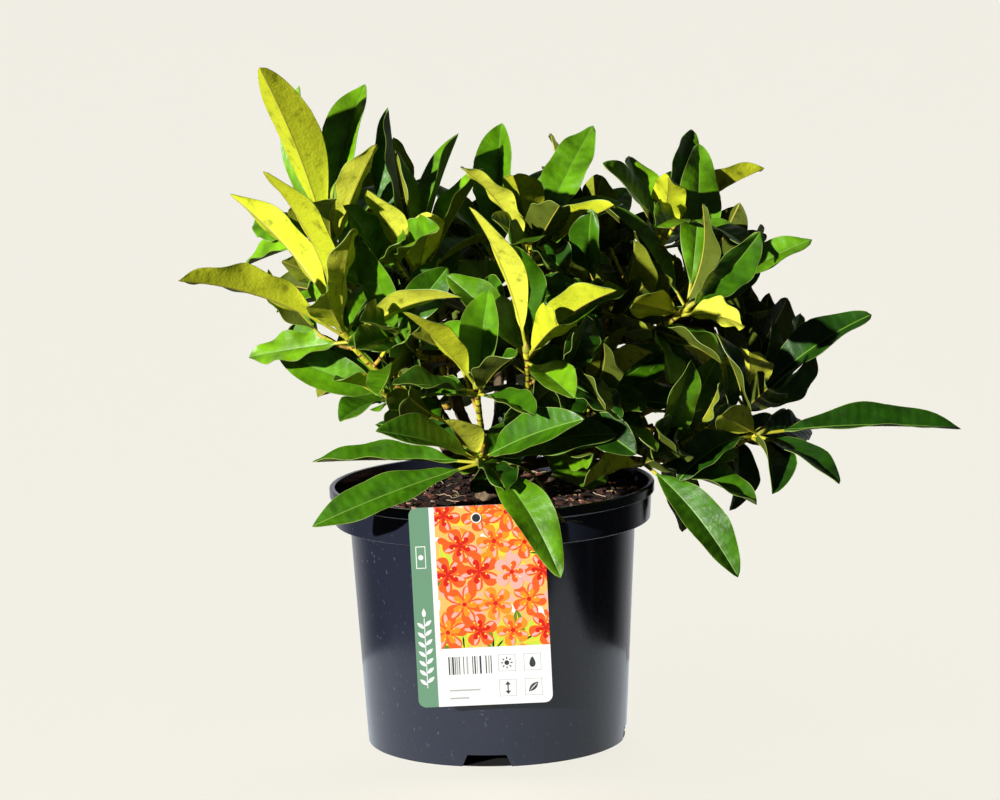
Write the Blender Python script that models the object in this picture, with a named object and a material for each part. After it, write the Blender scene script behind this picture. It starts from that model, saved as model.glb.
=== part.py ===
"""A rhododendron in a nursery pot: pot, root ball, plant label, trunk, boughs and masses of foliage.

Run it with blender --background --python part.py. Metres, +Z up; the plant faces -Y.
"""

import math
import random
from dataclasses import dataclass, replace

import bmesh
import bpy
from mathutils import Matrix, Quaternion, Vector
from mathutils.bvhtree import BVHTree

GAP = 0.0003
UP = Vector((0, 0, 1))
FRONT = Vector((0, -1, 0.16)).normalized()

# Pot, a five-litre nursery container
RIM_RADIUS = 0.115
POT_HEIGHT = 0.184
BASE_RADIUS = 0.092
BODY_TOP_RADIUS = 0.1010
WALL = 0.0017
NOTCH_REACH = 4 * WALL
LIP_HEIGHT = 0.007
LIP_STEP = 0.0022
LIP_ROUND = 0.0008
COLLAR_HEIGHT = 0.026
COLLAR_FOOT_RADIUS = 0.1118
FOOT_RECESS = 0.0095
PAD_RADIUS = 0.033
POT_STEPS = 32
NOTCHES = 4
NOTCH_TURN = math.radians(-93.5)
NOTCH_HEIGHT = 0.0085
NOTCH_TOP_WIDTH = 0.027
NOTCH_FOOT_WIDTH = 0.036
DRAIN_RADIUS = 0.006
DRAIN_CIRCLE = 0.074

# Root ball
SOIL_TOP = 0.172
SOIL_BUMP = 0.0018
SOIL_FLAT_SHARE = 0.25

# Plant label, a card whose tongue hooks over the rim
CARD_WIDTH = 0.092
CARD_HEIGHT = 0.139
CARD_THICKNESS = 0.0008
CARD_CORNER = 0.0055
CARD_TOP = 0.189
CARD_CENTRE_X = -0.0065
CARD_TURN = math.radians(-1.6)
CARD_HOLE_RADIUS = 0.0028
CARD_HOLE_DROP = 0.0085
TONGUE_WIDTH = 0.009
TONGUE_DROP = 0.007

# Trunk and limbs
TRUNK_HEIGHT = 0.066
TRUNK_RADIUS = 0.0085
TRUNK_TOP_RADIUS = 0.0062
FLARE_RADIUS = 0.0140
TRUNK_LEAN = Vector((0.010, -0.004, 0))
TRUNK_SIDES = 10
BOUGH_RADII = (0.0044, 0.0031)
BOUGH_SIDES = 6
BOUGH_NECK = 0.004
BOUGH_REACH = 0.56
BOUGH_BEND = 0.3
STEM_RADIUS = 0.0029
STEM_LENGTH = 0.012
STEM_TAPER = 0.9
TWIG_RADIUS = 0.0021
TWIG_SIDES = 4
TWIG_SINK = 0.4
TWIG_LIFT = 0.6
TWIG_BEND = 0.45
BUD_RADIUS = 0.0028
BUD_LENGTH = 0.010
BUD_SHOULDER = 0.4

# Leaves
LEAF_LENGTH = 0.086
LEAF_WIDTH = 0.022
LEAF_WIDTH_SHARE = 0.07
LEAF_THICKNESS = 0.0022
LEAF_GUARD = 0.0005
ROOT_SHARE = 0.05
CROWDED_SHARE = 0.24
LONG_LEAF = 0.098
PETIOLE_SHARE = 0.13
PETIOLE_HALF_WIDTH = 0.0013
LEAF_STEP = 0.0013
DROOP_BOW = 0.07
LEAVES_PER_SHOOT = 8
SPREADS = (38, 56, 74)
GOLDEN_TURN = 137.5
NUDGES = ((0, 0, 1), (6, 3, 1), (-6, 3, 1), (0, 9, 1), (0, -9, 1), (13, 5, 0.97), (-13, 5, 0.97),
          (13, -7, 0.95), (-13, -7, 0.95), (22, 0, 0.92), (-22, 0, 0.92), (0, 18, 0.9), (0, -18, 0.9))

# The crown's outer shape, an egg that unmarked leaves stay inside
CROWN_CENTRE = Vector((0.015, 0.025, 0.325))
CROWN_RADII = Vector((0.200, 0.190, 0.118))
CROWN_DEPTH = 0.190
CROWN_LEAN = 0.45

# Masses of foliage: the height on the trunk where the bough leaves it, then the mass's shoots. A shoot is the
# place of its whorl and its marked leaves: heading and rise in degrees, length, and how far the upper face
# turns to the front, from 1 for the upper face to -1 for the underside. More leaves follow the whorl's rule.
CROWN = {
    "left_high": (0.034, [
        ((-0.110, 0.000, 0.352), [
            (-130, 64, 0.150, -0.9), (60, 66, 0.124, 0.9), (120, 70, 0.120, 0.5), (-40, 60, 0.092, -0.6),
            (110, 30, 0.085, 0.4), (50, 40, 0.080, 0.5)]),
        ((-0.090, 0.090, 0.305), []),
    ]),
    "left_front": (0.022, [
        ((-0.100, -0.050, 0.302), [
            (-135, 60, 0.134, -0.5), (-100, 35, 0.062, -0.9), (-35, 20, 0.106, -0.45), (-152, 22, 0.134, -0.6),
            (152, 46, 0.130, -0.55), (115, 35, 0.090, 0.5), (60, 25, 0.076, 0.5), (-85, 58, 0.088, -0.5),
            (160, -10, 0.078, 0.75)]),
        ((-0.068, -0.030, 0.250), [
            (-135, 20, 0.056, -0.4), (-125, 2, 0.060, 0.5), (-55, -8, 0.056, 0.6)]),
    ]),
    "centre_left": (0.046, [
        ((-0.050, -0.010, 0.334), [
            (112, 67, 0.124, 0.45), (-75, 45, 0.076, -0.9), (-120, 50, 0.086, -0.6), (62, 56, 0.116, 0.45),
            (168, 64, 0.100, 0.3),
            (45, 20, 0.072, 0.4), (-150, 0, 0.066, -0.4)]),
        ((-0.052, -0.036, 0.283), [
            (-135, 20, 0.062, 0.6), (-45, 15, 0.068, 0.6), (-80, -15, 0.054, 0.6)]),
    ]),
    "centre_high": (0.058, [
        ((0.030, 0.000, 0.344), [
            (-100, 50, 0.082, -0.95), (50, 50, 0.114, 0.95), (75, 38, 0.090, 0.6), (-40, 30, 0.092, -0.6),
            (-130, 46, 0.100, -0.4), (20, -8, 0.066, 0.5)]),
        ((0.004, 0.045, 0.338), [
            (82, 62, 0.104, 0.95), (150, 40, 0.086, 0.5), (50, 44, 0.086, 0.6)]),
    ]),
    "centre_front": (0.034, [
        ((0.028, -0.092, 0.290), [
            (-125, 60, 0.122, -0.5), (100, 48, 0.090, 0.85), (-70, 25, 0.074, -0.95), (40, 22, 0.100, 0.7),
            (-30, 34, 0.086, -0.6), (125, 28, 0.066, 0.6)]),
        ((0.072, -0.062, 0.252), [
            (-130, 0, 0.060, 0.7), (-50, 0, 0.060, 0.7), (-35, 36, 0.062, -0.5)]),
        ((0.030, -0.048, 0.236), []),
    ]),
    "front_low": (0.010, [
        ((-0.006, -0.104, 0.268), [
            (-130, 40, 0.094, -0.5), (95, 40, 0.074, 0.8), (-150, 10, 0.066, 0.35), (-50, -8, 0.062, 0.5),
            (55, 25, 0.068, 0.7), (135, -8, 0.066, 0.5)]),
        ((-0.006, -0.092, 0.215), [
            (-140, 20, 0.094, 0.6), (145, 12, 0.092, 0.6), (172, 0, 0.118, 0.4), (-40, 22, 0.102, 0.8),
            (-18, 13, 0.102, 0.8), (-56, -34, 0.116, 0.9), (-72, -10, 0.060, 0.6), (-115, 36, 0.062, -0.5),
            (-161, -16, 0.126, 0.75), (70, 20, 0.054, 0.8)]),
    ]),
    "right_high": (0.046, [
        ((0.122, 0.020, 0.352), [
            (-130, 45, 0.086, 0.35), (110, 45, 0.080, 0.7), (65, 50, 0.094, 0.8), (-88, 42, 0.076, -0.9),
            (28, 28, 0.098, -0.5)]),
        ((0.140, -0.018, 0.308), [
            (80, 60, 0.126, 0.95), (-45, 40, 0.094, 0.8), (48, 32, 0.100, 0.5), (5, 28, 0.104, 0.6),
            (-50, 0, 0.064, -0.7), (142, 42, 0.108, 0.4), (-130, 15, 0.055, -0.8)]),
        ((0.084, 0.000, 0.288), []),
    ]),
    "right_far": (0.022, [
        ((0.184, 0.020, 0.232), [
            (52, 42, 0.088, 0.6), (12, 34, 0.114, 0.75), (-90, 42, 0.072, -0.9), (-150, 42, 0.086, -0.55),
            (98, 50, 0.082, 0.3), (38, 30, 0.080, 0.6)]),
    ]),
    "right_low": (0.010, [
        ((0.186, -0.052, 0.224), [
            (14, -2, 0.150, 0.5), (-120, 22, 0.056, -0.9), (-45, -18, 0.082, 0.5), (-150, -22, 0.066, 0.8),
            (-80, -24, 0.070, 0.7)]),
        ((0.110, -0.062, 0.208), [
            (55, 36, 0.098, 0.95), (-28, -12, 0.088, 0.6), (-40, -41, 0.108, 0.9), (-135, -8, 0.062, -0.5),
            (120, 30, 0.080, 0.8)]),
        ((0.066, -0.030, 0.232), []),
    ]),
    "back_left": (0.022, [
        ((-0.045, 0.145, 0.278), []),
        ((-0.050, 0.115, 0.222), []),
    ]),
    "back_high": (0.046, [
        ((-0.052, 0.090, 0.340), []),
        ((0.064, 0.095, 0.336), []),
    ]),
    "back_right": (0.034, [
        ((0.145, 0.105, 0.300), []),
        ((0.175, 0.100, 0.236), []),
    ]),
    "back_low": (0.010, [
        ((0.075, 0.145, 0.275), []),
        ((0.045, 0.150, 0.215), []),
        ((0.120, 0.130, 0.215), []),
    ]),
}


@dataclass
class Leaf:
    root: Vector
    axis: Vector
    heading: float
    rise: float
    length: float
    face: float | None
    bow: float
    fold: float
    twist: float


@dataclass
class Shoot:
    mass: str
    whorl: Vector
    axis: Vector
    twig: list
    marked: list
    leaves: list


def clear_scene():
    for obj in list(bpy.data.objects):
        bpy.data.objects.remove(obj)


def material(name, colour, roughness):
    made = bpy.data.materials.new(name)
    made.use_nodes = True
    shader = made.node_tree.nodes["Principled BSDF"]
    shader.inputs["Base Color"].default_value = (*colour, 1)
    shader.inputs["Roughness"].default_value = roughness
    made.diffuse_color = (*colour, 1)
    return made


# Shapes that the sub-parts share

def lofted(rings):
    """Points and faces of one closed skin over rings of points. A ring of one point closes to a tip."""
    points = []
    starts = []
    for ring in rings:
        starts.append(len(points))
        points.extend(ring)
    faces = []
    for level in range(len(rings) - 1):
        low, high = starts[level], starts[level + 1]
        count = max(len(rings[level]), len(rings[level + 1]))
        for i in range(count):
            j = (i + 1) % count
            if len(rings[level]) == 1:
                faces.append((low, high + j, high + i))
            elif len(rings[level + 1]) == 1:
                faces.append((low + i, low + j, high))
            else:
                faces.append((low + i, low + j, high + j, high + i))
    for start, ring in ((starts[0], rings[0]), (starts[-1], rings[-1])):
        if len(ring) > 1:
            faces.append(tuple(range(start, start + len(ring))))
    return points, faces


def add_object(name, points, faces, finish=None, smooth_angle=None):
    mesh = bpy.data.meshes.new(name)
    mesh.from_pydata([tuple(point) for point in points], [], faces)
    shape = bmesh.new()
    shape.from_mesh(mesh)
    bmesh.ops.recalc_face_normals(shape, faces=shape.faces)
    shape.to_mesh(mesh)
    shape.free()
    obj = bpy.data.objects.new(name, mesh)
    bpy.context.scene.collection.objects.link(obj)
    if finish:
        mesh.materials.append(finish)
    if smooth_angle is not None:
        mesh.shade_smooth()
        mesh.set_sharp_from_angle(angle=smooth_angle)
    return obj


def circle(radius, height, steps):
    return [Vector((radius * math.cos(math.tau * i / steps), radius * math.sin(math.tau * i / steps), height))
            for i in range(steps)]


def box(low, high):
    corners = ((low[0], low[1]), (high[0], low[1]), (high[0], high[1]), (low[0], high[1]))
    return lofted([[Vector((x, y, z)) for x, y in corners] for z in (low[2], high[2])])


def apply_boolean(obj, others, operation, solver="EXACT"):
    """Cuts or joins obj with the other objects, applies the result and removes them."""
    helpers = bpy.data.collections.new(obj.name + "_helpers")
    for other in others:
        helpers.objects.link(other)
    boolean = obj.modifiers.new(operation.title(), "BOOLEAN")
    boolean.operation = operation
    boolean.operand_type = "COLLECTION"
    boolean.collection = helpers
    boolean.solver = solver
    bpy.context.view_layer.update()
    graph = bpy.context.evaluated_depsgraph_get()
    result = bpy.data.meshes.new_from_object(obj.evaluated_get(graph))
    obj.modifiers.clear()
    obj.data = result
    for other in others:
        bpy.data.objects.remove(other)
    bpy.data.collections.remove(helpers)


def unit(vector):
    return vector.normalized()


def across(vector, along):
    """The unit part of a vector that is square to a unit direction."""
    return unit(vector - along * vector.dot(along))


def direction(heading, rise):
    """Heading is counted from +X towards +Y, and rise from the level, both in degrees."""
    level = math.cos(math.radians(rise))
    return Vector((level * math.cos(math.radians(heading)), level * math.sin(math.radians(heading)),
                   math.sin(math.radians(rise))))


def bezier(start, middle, end, steps):
    path = []
    for i in range(steps + 1):
        t = i / steps
        path.append(start * (1 - t) ** 2 + middle * (2 * t * (1 - t)) + end * t ** 2)
    return path


def tube(path, radii, sides, tip=None):
    """A limb with a ring at each point of its path, and a pointed end where a tip is given."""
    rings = []
    side = None
    for i, point in enumerate(path):
        along = unit(path[min(i + 1, len(path) - 1)] - path[max(i - 1, 0)])
        side = across(side or (UP if abs(along.z) < 0.9 else Vector((1, 0, 0))), along)
        other = along.cross(side)
        rings.append([point + (side * math.cos(math.tau * k / sides) + other * math.sin(math.tau * k / sides))
                      * radii[i] for k in range(sides)])
    if tip:
        rings.append([tip])
    return lofted(rings)


# Pot, root ball and label

def body_radius(height):
    """The pot's outer radius below its collar."""
    return BASE_RADIUS + (BODY_TOP_RADIUS - BASE_RADIUS) * height / (POT_HEIGHT - COLLAR_HEIGHT)


def collar_inner_radius(height):
    foot = POT_HEIGHT - COLLAR_HEIGHT + WALL
    share = (height - foot) / (POT_HEIGHT - LIP_HEIGHT - foot)
    return COLLAR_FOOT_RADIUS + (RIM_RADIUS - LIP_STEP - COLLAR_FOOT_RADIUS) * min(share, 1) - WALL


def pot_profile():
    """From the middle of the floor, up the inside, over the lip, down the outside and in to the pad."""
    collar_foot = POT_HEIGHT - COLLAR_HEIGHT
    lip_foot = POT_HEIGHT - LIP_HEIGHT
    floor = FOOT_RECESS + WALL
    lip_inside = collar_inner_radius(POT_HEIGHT)
    inside = [(0, WALL), (PAD_RADIUS - WALL, WALL), (PAD_RADIUS - WALL / 2, floor),
              (body_radius(floor) - WALL, floor), (BODY_TOP_RADIUS - WALL, collar_foot + WALL),
              (COLLAR_FOOT_RADIUS - WALL, collar_foot + WALL), (lip_inside, lip_foot), (lip_inside, POT_HEIGHT)]
    outside = [(RIM_RADIUS - LIP_ROUND, POT_HEIGHT), (RIM_RADIUS, POT_HEIGHT - LIP_ROUND),
               (RIM_RADIUS, lip_foot), (RIM_RADIUS - LIP_STEP, lip_foot), (COLLAR_FOOT_RADIUS, collar_foot),
               (BODY_TOP_RADIUS, collar_foot), (BASE_RADIUS, 0)]
    under = [(BASE_RADIUS - WALL, 0), (BASE_RADIUS - WALL, FOOT_RECESS), (PAD_RADIUS + WALL / 2, FOOT_RECESS),
             (PAD_RADIUS, 0), (0, 0)]
    return inside + outside + under


def notch_cutter(heading):
    """A block with slanted sides that opens the pot's skirt from the ground up."""
    radii = (BASE_RADIUS - NOTCH_REACH, BASE_RADIUS + NOTCH_REACH)
    outline = [(-NOTCH_FOOT_WIDTH / 2, -WALL), (NOTCH_FOOT_WIDTH / 2, -WALL),
               (NOTCH_TOP_WIDTH / 2, NOTCH_HEIGHT), (-NOTCH_TOP_WIDTH / 2, NOTCH_HEIGHT)]
    turn = Matrix.Rotation(heading, 3, "Z")
    rings = [[turn @ Vector((radius, y, z)) for y, z in outline] for radius in radii]
    return add_object("notch_cutter", *lofted(rings))


def drain_cutter(heading):
    centre = Matrix.Rotation(heading, 3, "Z") @ Vector((DRAIN_CIRCLE, 0, 0))
    rings = [[centre + point for point in circle(DRAIN_RADIUS, height, 10)]
             for height in (FOOT_RECESS - WALL, FOOT_RECESS + 2 * WALL)]
    return add_object("drain_cutter", *lofted(rings))


def make_pot(finish):
    mesh = bpy.data.meshes.new("pot")
    profile = [(radius, 0, height) for radius, height in pot_profile()]
    mesh.from_pydata(profile, [(i, i + 1) for i in range(len(profile) - 1)], [])
    pot = bpy.data.objects.new("pot", mesh)
    bpy.context.scene.collection.objects.link(pot)
    screw = pot.modifiers.new("Turn", "SCREW")
    screw.steps = POT_STEPS
    screw.render_steps = POT_STEPS
    screw.use_merge_vertices = True
    screw.merge_threshold = 0.0001
    headings = [NOTCH_TURN + math.tau * i / NOTCHES for i in range(NOTCHES)]
    cutters = [notch_cutter(heading) for heading in headings]
    cutters += [drain_cutter(heading + math.pi / NOTCHES) for heading in headings]
    apply_boolean(pot, cutters, "DIFFERENCE")
    pot.data.materials.clear()
    pot.data.materials.append(finish)
    pot.data.shade_smooth()
    pot.data.set_sharp_from_angle(angle=math.radians(35))


def make_soil(finish):
    """The root ball fills the pot to just below its lip, level round the trunk and uneven towards the rim."""
    chance = random.Random("soil")
    floor = FOOT_RECESS + WALL
    collar_floor = POT_HEIGHT - COLLAR_HEIGHT + WALL
    edge = collar_inner_radius(SOIL_TOP) - GAP
    clear = WALL + GAP
    rings = [circle(PAD_RADIUS - clear, clear, POT_STEPS),
             circle(PAD_RADIUS - clear, floor + GAP, POT_STEPS),
             circle(body_radius(floor) - clear, floor + GAP, POT_STEPS),
             circle(BODY_TOP_RADIUS - clear, collar_floor + GAP, POT_STEPS),
             circle(COLLAR_FOOT_RADIUS - clear, collar_floor + GAP, POT_STEPS),
             circle(edge, SOIL_TOP - SOIL_BUMP, POT_STEPS)]
    for share in (0.75, 0.5):
        ring = circle(edge * share, SOIL_TOP - SOIL_BUMP / 2, POT_STEPS)
        rings.append([point + UP * chance.uniform(-SOIL_BUMP, SOIL_BUMP / 2) for point in ring])
    rings.append(circle(edge * SOIL_FLAT_SHARE, SOIL_TOP, POT_STEPS))
    add_object("root_ball", *lofted(rings), finish, math.radians(40))


def card_outline():
    """The card's rounded outline in its own plane, from its middle."""
    points = []
    for corner, (side, top) in enumerate(((1, 1), (-1, 1), (-1, -1), (1, -1))):
        middle = Vector((side * (CARD_WIDTH / 2 - CARD_CORNER), 0, top * (CARD_HEIGHT / 2 - CARD_CORNER)))
        for step in range(4):
            angle = math.pi / 2 * (corner + step / 3)
            points.append(middle + Vector((math.cos(angle), 0, math.sin(angle))) * CARD_CORNER)
    return points


def make_label(finish):
    """The card hangs against the lip, and its tongue reaches over the rim and down inside it."""
    back = -RIM_RADIUS - GAP
    middle = Vector((CARD_CENTRE_X, back - CARD_THICKNESS / 2, CARD_TOP - CARD_HEIGHT / 2))
    turn = Matrix.Rotation(CARD_TURN, 3, "Y")
    half = Vector((0, CARD_THICKNESS / 2, 0))
    rings = [[middle + turn @ point + half * side for point in card_outline()] for side in (-1, 1)]
    card = add_object("label", *lofted(rings), finish, math.radians(40))
    left, right = CARD_CENTRE_X - TONGUE_WIDTH / 2, CARD_CENTRE_X + TONGUE_WIDTH / 2
    flat_of_lip = collar_inner_radius(POT_HEIGHT) * math.cos(math.pi / POT_STEPS)
    inner = GAP - math.sqrt(flat_of_lip ** 2 - left ** 2)
    over = POT_HEIGHT + GAP
    bridge = box((left, middle.y, over), (right, inner + CARD_THICKNESS, over + CARD_THICKNESS))
    drop = box((left + GAP, inner, over - TONGUE_DROP),
               (right - GAP, inner + CARD_THICKNESS - GAP / 3, over + CARD_THICKNESS / 2))
    apply_boolean(card, [add_object("tongue", *bridge), add_object("tongue", *drop)], "UNION")
    hole_at = middle + turn @ Vector((0, 0, CARD_HEIGHT / 2 - CARD_HOLE_DROP))
    rings = [[hole_at + Vector((point.x, y, point.y)) for point in circle(CARD_HOLE_RADIUS, 0, 12)]
             for y in (-4 * CARD_THICKNESS, 4 * CARD_THICKNESS)]
    apply_boolean(card, [add_object("hole_cutter", *lofted(rings))], "DIFFERENCE")


def card_room():
    """A box round the hanging card and its tongue."""
    reach = CARD_WIDTH / 2 + CARD_CORNER / 2
    return box((CARD_CENTRE_X - reach, -RIM_RADIUS - 3 * CARD_THICKNESS, CARD_TOP - CARD_HEIGHT),
               (CARD_CENTRE_X + reach, -RIM_RADIUS + TONGUE_DROP, CARD_TOP + 2 * CARD_THICKNESS))


# Trunk and limbs

def trunk_point(height):
    share = height / TRUNK_HEIGHT
    return Vector((0, 0, SOIL_TOP + GAP + height)) + TRUNK_LEAN * share ** 1.5


def trunk_radius(height):
    share = height / TRUNK_HEIGHT
    shaft = TRUNK_RADIUS + (TRUNK_TOP_RADIUS - TRUNK_RADIUS) * share
    return shaft + (FLARE_RADIUS - TRUNK_RADIUS) * (1 - share) ** 7


def trunk_shape(swell=0.0):
    heights = [TRUNK_HEIGHT * share for share in (0, 0.05, 0.12, 0.22, 0.35, 0.65, 1)]
    rings = [[trunk_point(height) + point for point in circle(trunk_radius(height) + swell, 0, TRUNK_SIDES)]
             for height in heights]
    return lofted(rings + [[trunk_point(TRUNK_HEIGHT + TRUNK_TOP_RADIUS / 2)]])


def bough_path(height, whorls):
    """A limb leaves the trunk's side level, then bends up to most of the way to its mass."""
    start = trunk_point(height)
    hub = sum(whorls, Vector()) / len(whorls)
    out = across(hub - start, UP)
    tip = start.lerp(hub, BOUGH_REACH)
    beside = [height + BOUGH_RADII[0] * side for side in (-1, 0, 1)]
    reach = max((trunk_point(near) - start).dot(out) + trunk_radius(near) for near in beside)
    foot = start + out * (reach + GAP)
    neck = foot + out * BOUGH_NECK
    bend = neck + out * (tip - neck).length * BOUGH_BEND
    return [foot] + bezier(neck, bend, tip, 5)


def bough_shape(path, swell=0.0):
    thick, thin = BOUGH_RADII
    last = len(path) - 1
    return tube(path, [thick + (thin - thick) * i / last + swell for i in range(last + 1)], BOUGH_SIDES)


def stem_path(bough):
    """A mass's stem goes on from its bough's tip, a hair clear of it."""
    along = unit(bough[-1] - bough[-2])
    start = bough[-1] + along * GAP
    return [start, start + along * STEM_LENGTH]


def make_shoots():
    """Boughs, stems and shoots of the whole crown, worked out from the whorls' places."""
    boughs = {}
    stems = {}
    shoots = []
    for mass, (height, rows) in CROWN.items():
        whorls = [Vector(row[0]) for row in rows]
        boughs[mass] = bough_path(height, whorls)
        stems[mass] = stem_path(boughs[mass])
        fork = stems[mass][1]
        for whorl, (_, marked) in zip(whorls, rows):
            axis = unit(unit(whorl - fork) + UP * TWIG_LIFT)
            bend = whorl - axis * (whorl - fork).length * TWIG_BEND
            twig = bezier(fork - (fork - stems[mass][0]) * TWIG_SINK, bend, whorl, 4)
            shoots.append(Shoot(mass, whorl, axis, twig, marked, []))
    return boughs, stems, shoots


def stem_shape(path, swell=0.0):
    return tube(path, [STEM_RADIUS + swell, STEM_RADIUS * STEM_TAPER + swell], TWIG_SIDES)


def twig_shape(shoot, swell=0.0):
    """A twig with the bud at its tip, just above its whorl of leaves."""
    path = shoot.twig + [shoot.whorl + shoot.axis * BUD_LENGTH * BUD_SHOULDER]
    radii = [TWIG_RADIUS + swell] * len(shoot.twig) + [BUD_RADIUS + swell]
    return tube(path, radii, TWIG_SIDES, shoot.whorl + shoot.axis * (BUD_LENGTH + swell))


# Leaves

def leaf_axes(leaf):
    """The leaf's direction, its upper side's direction and the direction across it, half way along."""
    along = direction(leaf.heading, leaf.rise)
    inward = leaf.axis - along * leaf.axis.dot(along)
    if inward.length < 0.2:
        inward = UP - Vector((along.x, along.y, 0))
    normal = across(inward, along)
    if leaf.face is not None:
        side = along.cross(normal)
        middle = math.atan2(side.dot(FRONT), normal.dot(FRONT))
        swing = math.acos(leaf.face)
        turns = [math.remainder(middle + swing * sign, math.tau) for sign in (-1, 1)]
        normal = Quaternion(along, min(turns, key=abs)) @ normal
    return along, normal, along.cross(normal)


def half_width(leaf, t):
    """A slim stalk, then a blade that is widest just past its middle and ends in a point."""
    if t <= PETIOLE_SHARE:
        return PETIOLE_HALF_WIDTH
    share = (t - PETIOLE_SHARE) / (1 - PETIOLE_SHARE)
    widest = (LEAF_WIDTH + LEAF_WIDTH_SHARE * leaf.length) / 2
    return max(PETIOLE_HALF_WIDTH, widest * math.sin(math.pi * min(share ** 1.1, 1)) ** 0.76)


def leaf_section(leaf, t, swell=0.0):
    """Left edge, upper middle, right edge and lower middle of the leaf at a share t of its length."""
    along, normal, side = leaf_axes(leaf)
    middle = leaf.root + along * leaf.length * t + normal * leaf.bow * leaf.length * 4 * t * (1 - t)
    tangent = unit(along + normal * leaf.bow * 4 * (1 - 2 * t))
    turn = Quaternion(tangent, leaf.twist * (t - 0.5))
    side = turn @ side
    normal = side.cross(tangent)
    width = half_width(leaf, t) + swell
    lift = normal * leaf.fold * (width if t > PETIOLE_SHARE else 0)
    thick = normal * (LEAF_THICKNESS / 2 + swell)
    return [middle - side * width + lift, middle + thick, middle + side * width + lift, middle - thick]


def leaf_shape(leaf):
    """A folded, bowed blade of a few sections: most on a long leaf, fewest on one that only fills its whorl."""
    if leaf.face is None:
        shares = (0, 0.15, 0.62)
    elif leaf.length > LONG_LEAF:
        shares = (0, 0.13, 0.34, 0.58, 0.82)
    else:
        shares = (0, 0.14, 0.42, 0.74)
    tip = leaf_section(leaf, 1)
    return lofted([leaf_section(leaf, t) for t in shares] + [[(tip[1] + tip[3]) / 2]])


def leaf_guard(leaf, start):
    """The leaf's outline with a little room round it, from a share of its length to its tip."""
    rings = [leaf_section(leaf, start + (1 - start) * k / 4, LEAF_GUARD) for k in range(5)]
    return lofted(rings)


class Space:
    """What already fills the crown: limbs and leaves, each with the whorl that owns it.

    Leaves of one whorl crowd together at their stalks, so only their blades have to stay clear of each other.
    """

    def __init__(self):
        self.taken = []

    @staticmethod
    def tree_of(shape):
        points, faces = shape
        low = Vector(map(min, zip(*points)))
        high = Vector(map(max, zip(*points)))
        return BVHTree.FromPolygons(points, faces), low, high

    def add(self, shape, whorl=None, blade=None):
        self.taken.append((self.tree_of(shape), self.tree_of(blade or shape), whorl))

    def clear_for(self, leaf, whorl):
        whole = self.tree_of(leaf_guard(leaf, ROOT_SHARE))
        blade = self.tree_of(leaf_guard(leaf, CROWDED_SHARE))
        for taken_whole, taken_blade, owner in self.taken:
            own = owner is whorl
            tree, low, high = blade if own else whole
            other, other_low, other_high = taken_blade if own else taken_whole
            if all(low[i] < other_high[i] and other_low[i] < high[i] for i in range(3)):
                if tree.overlap(other):
                    return False
        return True


def inside_crown(point):
    """The crown leans to the right as it comes down, and is deeper below its middle than above it."""
    offset = point - CROWN_CENTRE
    low = min(offset.z, 0)
    offset.x += CROWN_LEAN * low
    height = -low / CROWN_DEPTH if low else offset.z / CROWN_RADII.z
    return (offset.x / CROWN_RADII.x) ** 2 + (offset.y / CROWN_RADII.y) ** 2 + height ** 2 < 1


def make_leaf(shoot, number, heading, rise, length, face, chance):
    root = shoot.whorl - shoot.axis * LEAF_STEP * number
    bow = chance.uniform(0.02, 0.10) + (DROOP_BOW if rise < -20 else 0)
    fold = chance.uniform(0.18, 0.46)
    twist = math.radians(chance.uniform(-22, 22))
    return Leaf(root, shoot.axis, heading, rise, length, face, bow, fold, twist)


def place(leaf, shoot, space, keep_inside):
    """The leaf, nudged until it is clear of everything, or nothing where no nudge clears it."""
    for turn, lift, scale in NUDGES:
        nudged = replace(leaf, heading=leaf.heading + turn, rise=leaf.rise + lift, length=leaf.length * scale)
        tip = nudged.root + direction(nudged.heading, nudged.rise) * nudged.length
        if keep_inside and not inside_crown(tip):
            continue
        if space.clear_for(nudged, shoot.whorl):
            space.add(leaf_guard(nudged, ROOT_SHARE), shoot.whorl, leaf_guard(nudged, CROWDED_SHARE))
            shoot.leaves.append(nudged)
            return


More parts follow.
